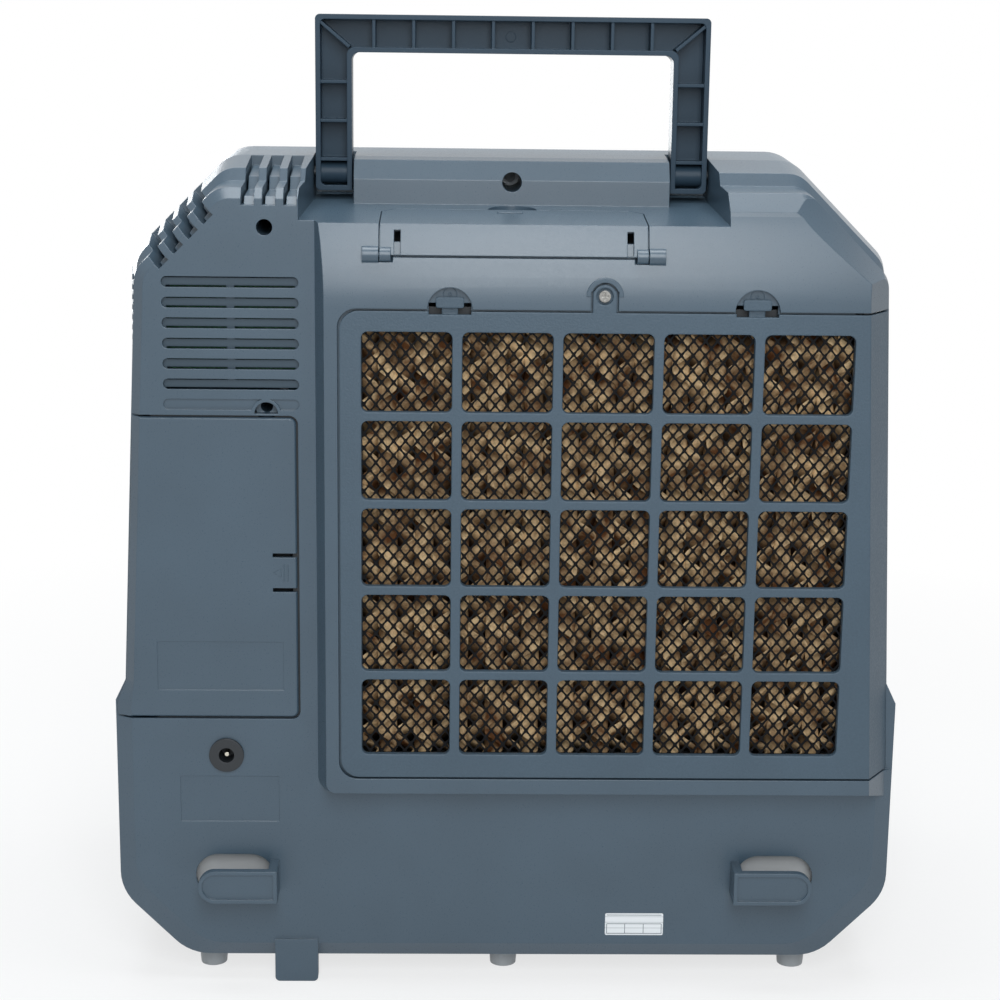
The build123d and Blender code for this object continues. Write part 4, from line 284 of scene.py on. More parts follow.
    def mottle(self, size: float, colour: str, drift: Spot) -> Any:
        """Let a colour drift between a darker and a lighter tone in soft clouds.

        Args:
            size: Size of a cloud in metres.
            colour: Six hexadecimal digits.
            drift: Factors on the light in the dark and in the pale clouds.

        Returns:
            Socket with the colour.
        """
        cloud = self.noise(size, 3.0)
        dark, pale = (shade(colour, gain) for gain in drift)
        return self.blend(self.span(cloud, 0.0, 1.0), dark, pale)

    def sheen(self, pattern: Any, roughness: float, spread: Spot) -> Any:
        """Roughness that a pattern moves below and above its middle value."""
        return self.span(pattern, roughness + spread[0], roughness + spread[1])


@dataclass(frozen=True)
class MouldedPlastic:
    """Injection-moulded plastic with a tool-finished skin and a painted highlight along its rounded edges."""

    name: str
    colour: str
    surface: Surface = Surface.SATIN
    roughness: float = 0.42
    edge: float = 0.6 * MM
    # Share of the painted highlight on the rounded edges
    edge_highlight_and_wear: float = 0.18
    gleam: float = 0.5
    cloud: float = 45 * MM
    drift: Spot = (0.95, 1.05)
    pore_tone: float = 0.55
    # Factor on the light of the colour in the painted edge highlight
    edge_highlight_tone: float = 1.7
    spread: Spot = (-0.05, 0.07)
    refraction: float = 1.46

    def material(self) -> bpy.types.Material:
        """Build the material.

        Returns:
            The finished material.
        """
        sheet = ShaderSheet(self.name)
        grain_size, grain_depth, contrast = self.surface.value
        tone = sheet.mottle(self.cloud, self.colour, self.drift)
        grain = sheet.noise(grain_size, 3.0)
        speck = sheet.blend(sheet.span(grain, 0.0, contrast), tone, shade(self.colour, self.pore_tone))
        rounded = sheet.soft_edge(self.edge)
        # Painted highlight: the rounded edges are lightened towards a brighter copy of the colour
        edge_highlight_and_wear_amount = sheet.times(sheet.edge_highlight_and_wear_mask(rounded), self.edge_highlight_and_wear)
        return sheet.fit(
            Base_Color=sheet.blend(edge_highlight_and_wear_amount, speck, shade(self.colour, self.edge_highlight_tone)),
            Roughness=sheet.sheen(grain, self.roughness, self.spread),
            Normal=sheet.relief(grain, grain_depth, rounded),
            IOR=self.refraction,
            Specular_IOR_Level=self.gleam,
        )


@dataclass(frozen=True)
class ClearPlastic:
    """Milky, slightly see-through plastic or rubber."""

    name: str
    colour: str
    clear: float
    roughness: float = 0.35
    cloud: float = 18 * MM
    drift: Spot = (0.90, 1.06)
    grain: float = 0.8 * MM
    grain_depth: float = 0.01 * MM
    edge: float = 0.7 * MM
    spread: Spot = (-0.06, 0.08)
    refraction: float = 1.49

    def material(self) -> bpy.types.Material:
        """Build the material.

        Returns:
            The finished material.
        """
        sheet = ShaderSheet(self.name)
        grain = sheet.noise(self.grain, 2.0)
        return sheet.fit(
            Base_Color=sheet.mottle(self.cloud, self.colour, self.drift),
            Roughness=sheet.sheen(grain, self.roughness, self.spread),
            Normal=sheet.relief(grain, self.grain_depth, sheet.soft_edge(self.edge)),
            Transmission_Weight=self.clear,
            IOR=self.refraction,
        )


@dataclass(frozen=True)
class BrightMetal:
    """Plated or turned metal with fine marks along one axis."""

    name: str
    colour: str
    roughness: float = 0.28
    cloud: float = 6 * MM
    drift: Spot = (0.86, 1.0)
    mark: float = 1.6 * MM
    mark_stretch: Place = (1.0, 14.0, 1.0)
    mark_depth: float = 0.006 * MM
    edge: float = 0.25 * MM
    spread: Spot = (-0.08, 0.12)

    def material(self) -> bpy.types.Material:
        """Build the material.

        Returns:
            The finished material.
        """
        sheet = ShaderSheet(self.name)
        lines = sheet.noise(self.mark, 4.0, sheet.stretch(self.mark_stretch))
        return sheet.fit(
            Base_Color=sheet.mottle(self.cloud, self.colour, self.drift),
            Metallic=1.0,
            Roughness=sheet.sheen(lines, self.roughness, self.spread),
            Normal=sheet.relief(lines, self.mark_depth, sheet.soft_edge(self.edge)),
        )


@dataclass(frozen=True)
class PaintedMetal:
    """Sprayed casing with orange-peel skin."""

    name: str
    colour: str
    roughness: float = 0.36
    bare: str = "9a9a98"
    # Share of bare metal on the rounded edges, where the paint is worn off
    edge_highlight_and_wear: float = 0.35
    cloud: float = 25 * MM
    drift: Spot = (0.90, 1.08)
    peel: float = 1.8 * MM
    peel_depth: float = 0.03 * MM
    edge: float = 0.6 * MM
    spread: Spot = (-0.06, 0.08)

    def material(self) -> bpy.types.Material:
        """Build the material.

        Returns:
            The finished material.
        """
        sheet = ShaderSheet(self.name)
        peel = sheet.noise(self.peel, 2.0)
        paint = sheet.mottle(self.cloud, self.colour, self.drift)
        rounded = sheet.soft_edge(self.edge)
        edge_highlight_and_wear_amount = sheet.times(sheet.edge_highlight_and_wear_mask(rounded), self.edge_highlight_and_wear)
        return sheet.fit(
            Base_Color=sheet.blend(edge_highlight_and_wear_amount, paint, shade(self.bare)),
            Roughness=sheet.sheen(peel, self.roughness, self.spread),
            Normal=sheet.relief(peel, self.peel_depth, rounded),
        )


@dataclass(frozen=True)
class CircuitBoard:
    """Glass-fibre board with solder-masked tracks."""

    name: str
    colour: str
    track_scale: float = 120.0
    track_tone: float = 1.9
    track_depth: float = 0.05 * MM
    patch: float = 9 * MM
    patch_stretch: Place = (1.0, 0.1, 1.0)
    weave: float = 0.9 * MM
    gloss: Spot = (0.30, 0.45)
    edge: float = 0.3 * MM

    def material(self) -> bpy.types.Material:
        """Build the material.

        Returns:
            The finished material.
        """
        sheet = ShaderSheet(self.name)
        patch = sheet.noise(self.patch, 2.0, sheet.stretch(self.patch_stretch))
        tracks = sheet.add("TexWave", Vector=sheet.place, Scale=self.track_scale, Distortion=6.0, Detail=0.0)
        tracks.wave_type = "BANDS"
        tracks.bands_direction = "X"
        band = sheet.span(sheet.times(tracks.outputs["Fac"], patch), 0.0, 0.6, 0.30, 0.34)
        weave = sheet.noise(self.weave, 2.0)
        return sheet.fit(
            Base_Color=sheet.blend(band, shade(self.colour), shade(self.colour, self.track_tone)),
            Roughness=sheet.span(weave, *self.gloss),
            Normal=sheet.relief(band, self.track_depth, sheet.soft_edge(self.edge)),
        )


@dataclass(frozen=True)
class PadPaper:
    """Resin-stiffened cellulose of the wet pad: fibrous, stained darker in places, with painted shade
    deepening into the pad from its front.
    """

    name: str
    light: str
    dark: str
    front: float = -113.2 * MM
    reach: float = 17.0 * MM
    fibre: float = 2.4 * MM
    fibre_stretch: Place = (1.0, 0.35, 1.0)
    fibre_tone: float = 0.55
    fibre_depth: float = 0.25 * MM
    stain: float = 16 * MM
    depth_shade_tone: float = 0.30
    gloss: Spot = (0.72, 0.95)
    gleam: float = 0.25

    def material(self) -> bpy.types.Material:
        """Build the material.

        Returns:
            The finished material.
        """
        sheet = ShaderSheet(self.name)
        fibre = sheet.noise(self.fibre, 6.0, sheet.stretch(self.fibre_stretch))
        stain = sheet.noise(self.stain, 4.0)
        tone = sheet.blend(sheet.span(stain, 0.0, 1.0, 0.42, 0.64), shade(self.light), shade(self.dark))
        age = sheet.span(fibre, 0.0, 0.55, 0.45, 0.70)
        aged = sheet.blend(age, tone, shade(self.dark, self.fibre_tone))
        # Painted shade: the paper darkens with depth behind the pad's front face, where light does not reach
        depth = sheet.add("SeparateXYZ", Vector=sheet.place).outputs["Y"]
        painted_depth_shade = sheet.span(depth, 0.0, 0.9, self.front + self.reach / 4, self.front + self.reach)
        return sheet.fit(
            Base_Color=sheet.blend(painted_depth_shade, aged, shade(self.dark, self.depth_shade_tone)),
            Roughness=sheet.span(fibre, *self.gloss),
            Normal=sheet.relief(fibre, self.fibre_depth),
            Specular_IOR_Level=self.gleam,
        )


@dataclass(frozen=True)
class LabelPaper:
    """Blank paper sticker with faint ruled lines."""

    name: str
    colour: str
    rule: str = "7d858c"
    pitch: float = 3.2 * MM
    fibre: float = 0.6 * MM
    fibre_depth: float = 0.01 * MM
    gloss: Spot = (0.45, 0.60)

    def material(self) -> bpy.types.Material:
        """Build the material.

        Returns:
            The finished material.
        """
        sheet = ShaderSheet(self.name)
        rules = sheet.add("TexWave", Vector=sheet.place, Scale=1.0 / self.pitch / WAVE_BANDS, Distortion=0.0)
        rules.bands_direction = "Z"
        line = sheet.span(rules.outputs["Fac"], 0.0, 0.35, 0.90, 0.98)
        fibre = sheet.noise(self.fibre, 3.0)
        return sheet.fit(
            Base_Color=sheet.blend(line, shade(self.colour), shade(self.rule)),
            Roughness=sheet.span(fibre, *self.gloss),
            Normal=sheet.relief(fibre, self.fibre_depth),
        )


class Finishes:
    """All finishes of the cooler, built once and handed out by name."""

    BOOK = (
        MouldedPlastic("housing_plastic", "415361", roughness=0.31, edge_highlight_and_wear=0.34, gleam=0.62),
        MouldedPlastic("grained_plastic", "405260", Surface.SPARK, roughness=0.48, edge=1.1 * MM, edge_highlight_and_wear=0.4),
        MouldedPlastic("handle_plastic", "2f404e", roughness=0.34, edge_highlight_and_wear=0.6, gleam=0.16),
        # Housing blue-grey darkened as painted shade inside the vent slots
        MouldedPlastic("baffle_plastic_in_painted_shade", "3a4a56", roughness=0.40, gleam=0.4),
        MouldedPlastic("dark_plastic", "24282c", roughness=0.45),
        MouldedPlastic("vane_plastic", "6b7984", roughness=0.38),
        MouldedPlastic("net_black", "0c0d0f", roughness=0.62, edge=0.15 * MM, edge_highlight_and_wear=0.05, gleam=0.12),
        MouldedPlastic("pack_plastic", "2b2f33", roughness=0.40),
        MouldedPlastic("panel_gloss", "15181b", Surface.GLOSS, roughness=0.14),
        MouldedPlastic("button_gloss", "c9ced2", Surface.GLOSS, roughness=0.20),
        MouldedPlastic("symbol_print", "1d2226", Surface.GLOSS, roughness=0.30),
        ClearPlastic("tank_plastic", "b2b4b5", 0.12),
        ClearPlastic("foot_rubber", "a8acaf", 0.10, roughness=0.45),
        ClearPlastic("hose_rubber", "9aa3a6", 0.20),
        BrightMetal("steel", "8e8d8a"),
        # Darker copy of the steel as painted shade on screws deep in their holes and on the handle's pins
        BrightMetal("steel_in_painted_shade", "35383a", roughness=0.42),
        BrightMetal("socket_metal", "d6d2c4", roughness=0.20),
        PaintedMetal("motor_paint", "33373b"),
        CircuitBoard("board_green", "1f5a35"),
        PadPaper("pad_brown", "efcfa0", "6b4324"),
        LabelPaper("label_paper", "e6e9eb"),
        MouldedPlastic("rule_grey", "767d84", edge_highlight_and_wear=0.0, edge=0.05 * MM),
    )

    def __init__(self) -> None:
        """Build every material of the book."""
        self.materials = {finish.name: finish.material() for finish in self.BOOK}

    def coat(self, piece: bpy.types.Object, name: str) -> None:
        """Give a piece one finish in place of whatever it has."""
        piece.data.materials.clear()
        piece.data.materials.append(self.materials[name])


@dataclass
class Workshop:
    """Keeps the loaded model and the finishes, and turns finished meshes into pieces."""

    frame: dict[str, Any]
    finishes: Finishes

    def node(self, name: str) -> bpy.types.Object:
        """The object of a CAD node."""
        return self.frame["nodes"][name]

    def seat(self, name: str, start: Place, way: Place) -> Matrix:
        """Find where a line meets a CAD node.

        Args:
            name: Name of the node.
            start: Start of the line.
            way: Direction of the line.

        Returns:
            Place on the surface: X to the right and Y up for someone who faces it, Z outwards.
        """
        mesh = bmesh.new()
        mesh.from_mesh(self.node(name).data)
        spot, normal, _, _ = BVHTree.FromBMesh(mesh).ray_cast(Vector(start), Vector(way))
        mesh.free()
        if spot is None:
            raise ValueError(f"no surface of {name} on the line from {start}")
        right = Vector((0, 0, 1)).cross(normal).normalized()
        columns = (right, normal.cross(right), normal, spot)
        return Matrix([*zip(*columns), (0, 0, 0, 1)])

    def hand_over(
        self,
        mesh: bmesh.types.BMesh,
        name: str,
        body: str,
        finish: str,
        replaces: Iterable[str] = (),
        smooth: bool = False,
    ) -> bpy.types.Object:
        """Make a finished mesh a piece of the object.

        Args:
            mesh: The finished mesh, which is used up.
            name: Name of the piece.
            body: Body that carries it.
            finish: Name of its finish.
            replaces: CAD nodes that it stands for.
            smooth: Whether its faces are shaded smooth.

        Returns:
            The new piece.
        """
        data = bpy.data.meshes.new(name)
        mesh.to_mesh(data)
        mesh.free()
        piece = bpy.data.objects.new(name, data)
        bpy.context.scene.collection.objects.link(piece)
        for polygon in data.polygons:
            polygon.use_smooth = smooth
        self.finishes.coat(piece, finish)
        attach(piece, body)
        if replaces:
            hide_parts(*replaces)
        LOG.info("%s: %d faces on %s", name, len(data.polygons), body)
        return piece


def everything(mesh: bmesh.types.BMesh) -> list[Any]:
    """All vertices, edges and faces of a mesh."""
    return mesh.verts[:] + mesh.edges[:] + mesh.faces[:]


def vertices_in(elements: Iterable[Any]) -> list[bmesh.types.BMVert]:
    """The vertices among the elements that an operator made."""
    return [item for item in elements if isinstance(item, bmesh.types.BMVert)]


def shifted(x: float, y: float, z: float = 0.0) -> Matrix:
    """Place that is moved and not turned."""
    return Matrix.Translation((x, y, z))


def grow_row(mesh: bmesh.types.BMesh, step: Vector, doublings: int) -> None:
    """Repeat all of a mesh along a step by doubling it.

    Args:
        mesh: Mesh to repeat.
        step: Way from one copy to the next.
        doublings: How many times the count is doubled.
    """
    for power in range(doublings):
        copy = bmesh.ops.duplicate(mesh, geom=everything(mesh))["geom"]
        bmesh.ops.translate(mesh, verts=vertices_in(copy), vec=step * 2**power)


def trim(mesh: bmesh.types.BMesh, point: Vector, outward: Vector) -> None:
    """Cut a mesh off at a plane and keep what is behind it.

    Args:
        mesh: Mesh to cut.
        point: A point of the plane.
        outward: Normal towards the side that is cut off.
    """
    bmesh.ops.bisect_plane(
        mesh,
        geom=everything(mesh),
        dist=CUT_TOLERANCE,
        plane_co=point,
        plane_no=outward,
        clear_outer=True,
    )


def plate(width: float, height: float, thick: float, corner: float, edge: float = 0.0) -> bmesh.types.BMesh:
    """Plate on the XY plane with rounded corners and a chamfered upper edge.

    Args:
        width: Size along X.
        height: Size along Y.
        thick: Size along Z.
        corner: Radius of its corners.
        edge: Chamfer of its upper edge, none when zero.

    Returns:
        Mesh of the plate.
    """
    mesh = bmesh.new()
    bmesh.ops.create_cube(mesh, size=1.0)
    bmesh.ops.scale(mesh, vec=(width, height, thick), verts=mesh.verts)
    bmesh.ops.translate(mesh, vec=(0, 0, thick / 2), verts=mesh.verts)
    upright = [e for e in mesh.edges if abs((e.verts[0].co - e.verts[1].co).z) > thick / 2]
    bmesh.ops.bevel(mesh, geom=upright, offset=corner, segments=4, profile=0.5, affect="EDGES", material=-1)
    if edge:
        upper = [e for e in mesh.edges if all(v.co.z > thick / 2 for v in e.verts) and len(e.link_faces) == 2]
        bmesh.ops.bevel(mesh, geom=upper, offset=edge, segments=2, profile=0.5, affect="EDGES", material=-1)
    return mesh


def disc(radius: float, thick: float, segments: int, hole: float = 0.0) -> bmesh.types.BMesh:
    """Disc or ring on the XY plane.

    Args:
        radius: Outer radius.
        thick: Size along Z.
        segments: Facets round it.
        hole: Radius of its hole, none when zero.

    Returns:
        Mesh of the disc.
    """
    mesh = bmesh.new()
    bmesh.ops.create_circle(mesh, segments=segments, radius=radius, cap_ends=not hole)
    if hole:
        bmesh.ops.create_circle(mesh, segments=segments, radius=hole, cap_ends=False)
        bmesh.ops.bridge_loops(mesh, edges=mesh.edges[:])
    drawn = bmesh.ops.extrude_face_region(mesh, geom=mesh.faces[:])["geom"]
    bmesh.ops.translate(mesh, verts=vertices_in(drawn), vec=(0, 0, thick))
    bmesh.ops.recalc_face_normals(mesh, faces=mesh.faces)
    return mesh


def gather(parts: Iterable[tuple[bmesh.types.BMesh, Matrix]]) -> bmesh.types.BMesh:
    """Put meshes together and use them up.

    Args:
        parts: The meshes, each with its place.

    Returns:
        One mesh of them all.
    """
    whole = bmesh.new()
    for part, place in parts:
        part.transform(place)
        data = bpy.data.meshes.new("loose_part")
        part.to_mesh(data)
        part.free()
        whole.from_mesh(data)
        bpy.data.meshes.remove(data)
    return whole


@dataclass
class DustNet:
    """Extruded diamond net clipped behind the intake grille."""

    pitch_x: float = 5.95 * MM
    pitch_z: float = 7.40 * MM
    strand: float = 0.72 * MM
    corner_pull: float = 0.86
    merge: float = 0.02 * MM
    doublings: int = 6

    def build(self, shop: Workshop) -> bpy.types.Object:
        """Weave the net over its CAD sheet.

        Args:
            shop: Where the piece is handed over.

        Returns:
            The net.
        """
        low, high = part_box("dust_net")
        half_x, half_z = self.pitch_x / 2, self.pitch_z / 2
        mesh = bmesh.new()
        tile = bmesh.ops.create_circle(mesh, segments=4, radius=1.0, cap_ends=False)["verts"]
        bmesh.ops.scale(mesh, vec=(half_x, half_z, 1.0), verts=tile)
        bmesh.ops.subdivide_edges(mesh, edges=mesh.edges[:], cuts=1, use_grid_fill=False)
        ring = vertices_in(bmesh.ops.duplicate(mesh, geom=everything(mesh))["geom"])
        reach = half_x * half_z / math.hypot(half_x, half_z)
        inner = (reach - self.strand / 2) / reach
        bmesh.ops.scale(mesh, vec=(inner, inner, 1.0), verts=ring)
        corners = [v for v in ring if min(abs(v.co.x), abs(v.co.y)) < self.merge]
        bmesh.ops.scale(mesh, vec=(self.corner_pull, self.corner_pull, 1.0), verts=corners)
        bmesh.ops.bridge_loops(mesh, edges=mesh.edges[:])
        bmesh.ops.rotate(mesh, verts=mesh.verts, cent=(0, 0, 0), matrix=Matrix.Rotation(math.pi / 2, 3, "X"))
        bmesh.ops.translate(mesh, verts=mesh.verts, vec=(low.x, high.y, low.z))
        grow_row(mesh, Vector((half_x, 0, half_z)), 1)
        grow_row(mesh, Vector((self.pitch_x, 0, 0)), self.doublings)
        grow_row(mesh, Vector((0, 0, self.pitch_z)), self.doublings - 1)
        for corner, axis in ((low, (-1, 0, 0)), (low, (0, 0, -1)), (high, (1, 0, 0)), (high, (0, 0, 1))):
            trim(mesh, corner, Vector(axis))
        bmesh.ops.remove_doubles(mesh, verts=mesh.verts, dist=self.merge)
        bmesh.ops.recalc_face_normals(mesh, faces=mesh.faces)
        bmesh.ops.solidify(mesh, geom=mesh.faces[:], thickness=high.y - low.y)
        lowest = min(v.co.y for v in mesh.verts)
        bmesh.ops.translate(mesh, verts=mesh.verts, vec=(0, low.y - lowest, 0))
        bmesh.ops.recalc_face_normals(mesh, faces=mesh.faces)
        return shop.hand_over(mesh, "woven_net", "grille", "net_black", ["dust_net"])


@dataclass
class WetPad:
    """Wet pad: corrugated sheets side by side, with the flutes of neighbours crossing."""

    sheet_pitch: float = 9.2 * MM
    wave: float = 19.0 * MM
    thick: float = 0.55 * MM
    slant: float = 0.9
    points: int = 12
    side_room: float = 0.4 * MM

    def sheet(self, x: float, low: Vector, high: Vector, sign: int) -> bmesh.types.BMesh:
        """One corrugated sheet, cut to the pad's height.

        Args:
            x: Place of its middle.
            low: Lowest corner of the pad.
            high: Highest corner of the pad.
            sign: Way in which the flutes climb.

        Returns:
            Mesh of the sheet, with its thickness.
        """
        depth = high.y - low.y
        rise = sign * self.slant * depth
        start = low.z - abs(rise) - self.wave
        length = high.z + abs(rise) + self.wave - start
        mesh = bmesh.new()
        ends = [mesh.verts.new((x, low.y, start)), mesh.verts.new((x, low.y, start + length))]
        edge = mesh.edges.new(ends)
        cuts = int(length / self.wave * self.points)
        bmesh.ops.subdivide_edges(mesh, edges=[edge], cuts=cuts)
        swing = self.sheet_pitch / 2
        for vertex in mesh.verts:
            vertex.co.x += swing * math.sin(2 * math.pi * (vertex.co.z - low.z) / self.wave)
        drawn = bmesh.ops.extrude_edge_only(mesh, edges=mesh.edges[:])["geom"]
        bmesh.ops.translate(mesh, verts=vertices_in(drawn), vec=(0, depth, rise))
        trim(mesh, Vector((0, 0, low.z + self.side_room)), Vector((0, 0, -1)))
        trim(mesh, Vector((0, 0, high.z - self.side_room)), Vector((0, 0, 1)))
        bmesh.ops.recalc_face_normals(mesh, faces=mesh.faces)
        bmesh.ops.solidify(mesh, geom=mesh.faces[:], thickness=self.thick)
        bmesh.ops.recalc_face_normals(mesh, faces=mesh.faces)
        return mesh

    def build(self, shop: Workshop) -> bpy.types.Object:
        """Stack the sheets in the place of the CAD pad.

        Args:
            shop: Where the piece is handed over.

        Returns:
            The pad.
        """
        low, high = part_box("cooling_pad")
        count = int((high.x - low.x) / self.sheet_pitch)
        first = (low.x + high.x) / 2 - (count - 1) * self.sheet_pitch / 2
        sheets = (
            self.sheet(first + index * self.sheet_pitch, low, high, 1 if index % 2 else -1)
            for index in range(count)
        )
        whole = gather((sheet, Matrix()) for sheet in sheets)
        return shop.hand_over(
            whole, "corrugated_pad", "housing", "pad_brown", ["cooling_pad"], smooth=True
        )


@dataclass
class Mouldings:
    """The CAD pieces that keep their shape and get their finish here."""

    coats: dict[str, tuple[str, ...]] = field(
        default_factory=lambda: {
            "housing_plastic": (
                "rear_housing",
                "front_housing",
                "battery_door",
                "fill_lid",
                "cord_hooks",
            ),
            # Painted shade: the baffle behind the vent slots gets a darker copy of the housing colour
            "baffle_plastic_in_painted_shade": ("vent_baffle",),
            "grained_plastic": ("rear_grille",),
            "handle_plastic": ("carry_handle",),
            "dark_plastic": (
                "water_pump",
                "pad_frame",
                "drip_tray",
                "fan_shroud",
                "fan_blades",
                "battery_bay",
                "charge_socket",
                "louvre_link",
                "outlet_guard",
            ),
            "vane_plastic": tuple(f"louvre_vane_{i}" for i in range(1, 6)),
            "net_black": ("dust_net",),
            "pad_brown": ("cooling_pad",),
            "tank_plastic": ("water_tank",),
            "foot_rubber": ("rubber_feet",),
            "hose_rubber": ("pump_hose",),
            "steel": ("motor_shaft", "fan_nut", "grille_screw"),
            # Painted shade: screws deep in their holes and the handle's pins get the darker copy of the steel
            "steel_in_painted_shade": ("housing_screws", "handle_pins"),
            "socket_metal": ("socket_pin",),
            "motor_paint": ("fan_motor",),
            "pack_plastic": ("battery_pack",),
            "board_green": ("control_board", "switch_board"),
            "panel_gloss": ("control_panel",),
            "button_gloss": ("power_button", "speed_button", "pump_button"),
        }
    )

    def dress(self, shop: Workshop) -> None:
        """Coat every CAD node.

        Args:
            shop: Where the nodes and the finishes are.
        """
        for finish, names in self.coats.items():
            for name in names:
                shop.finishes.coat(shop.node(name), finish)
            LOG.info("%s on %d nodes", finish, len(names))


@dataclass
class ShadeBackingPlate:
    """Dark plate clipped behind the drip tray, standing in for shade inside the cooler: it closes the sight
    lines through the pad to the background.
    """

    half_width: float = 76.0 * MM
    height: float = 41.0 * MM
    thick: float = 1.6 * MM
    corner: float = 6.0 * MM
    edge: float = 0.4 * MM
    lift: float = 1.0 * MM
    ribs: int = 5
    rib_pitch: float = 30.0 * MM
    rib_width: float = 1.4 * MM
    rib_height: float = 32.8 * MM
    rib_depth: float = 2.2 * MM
    rib_corner: float = 0.5 * MM
    rib_foot: float = 1.44 * MM

    def build(self, shop: Workshop) -> bpy.types.Object:
        """Stand the plate against the tray's wall, with ribs on its front side.

        Args:
            shop: Where the piece is handed over.

        Returns:
            The plate.
        """
        low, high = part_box("drip_tray")
        middle = shifted(0, high.y, low.z + self.lift + self.height / 2)
        facing = middle @ Matrix.Rotation(-math.pi / 2, 4, "X")
        parts = [(plate(2 * self.half_width, self.height, self.thick, self.corner, self.edge), facing)]
        for index in range(self.ribs):
            x = (index - (self.ribs - 1) / 2) * self.rib_pitch
            rib = plate(self.rib_width, self.rib_height, self.rib_depth, self.rib_corner)
            parts.append((rib, facing @ shifted(x, 0, self.rib_foot)))
        return shop.hand_over(gather(parts), "shade_backing_plate", "housing", "dark_plastic")


@dataclass
class Marks:
    """Small marks that are set on the surface under them, sunk in by a hair."""

    sink: float = 0.05 * MM

    def stick(
        self,
        shop: Workshop,
        parts: Iterable[tuple[bmesh.types.BMesh, Matrix]],
        seat: Matrix,
        name: str,
        body: str,
        finish: str,
        slot: str,
    ) -> None:
        """Set a mark on its surface.

        Args:
            shop: Where the piece is handed over.
            parts: Meshes of the mark in its own plane, with their places.
            seat: Place on the surface.
            name: Name of the piece.
            body: Body that carries it.
            finish: Name of its finish.
            slot: Not used.
        """
        mesh = gather(parts)
        mesh.transform(seat @ shifted(0, 0, -self.sink))
        shop.hand_over(mesh, name, body, finish)

    def from_behind(self, shop: Workshop, node: str, spot: Spot) -> Matrix:
        """Place where a level line from behind meets a node."""
        return shop.seat(node, (spot[0], -1.0, spot[1]), (0, 1, 0))


@dataclass
class Sticker(Marks):
    """Blank paper sticker on the lower wall, ruled into boxes."""

    size: Spot = (31.0 * MM, 12.4 * MM)
    spot: Spot = (69.1 * MM, 32.7 * MM)
    thick: float = 0.15 * MM
    corner: float = 0.8 * MM
    line: float = 0.35 * MM
    line_thick: float = 0.20 * MM
    row_share: float = 0.94
    rows: tuple[float, ...] = (-0.42, 0.02, 0.42)
    column_share: float = 0.44
    column_middle: float = -0.20
    columns: tuple[float, ...] = (-0.47, -0.16, 0.16, 0.47)

    def rule(self, width: float, height: float) -> bmesh.types.BMesh:
        """One printed line."""
        return plate(width, height, self.line_thick, self.line / 4)

    def build(self, shop: Workshop) -> None:
        """Stick the paper on and rule it.

        Args:
            shop: Where the pieces are handed over.
        """
        width, height = self.size
        seat = self.from_behind(shop, "rear_housing", self.spot)
        paper = plate(width, height, self.thick, self.corner)
        self.stick(shop, [(paper, Matrix())], seat, "blank_sticker", "housing", "label_paper", "tank_plastic")
        rules = [(self.rule(width * self.row_share, self.line), shifted(0, height * y)) for y in self.rows]
        tall = height * self.column_share
        middle = height * self.column_middle
        rules += [(self.rule(self.line, tall), shifted(width * x, middle)) for x in self.columns]
        self.stick(shop, rules, seat, "sticker_rules", "housing", "rule_grey", "tank_plastic")


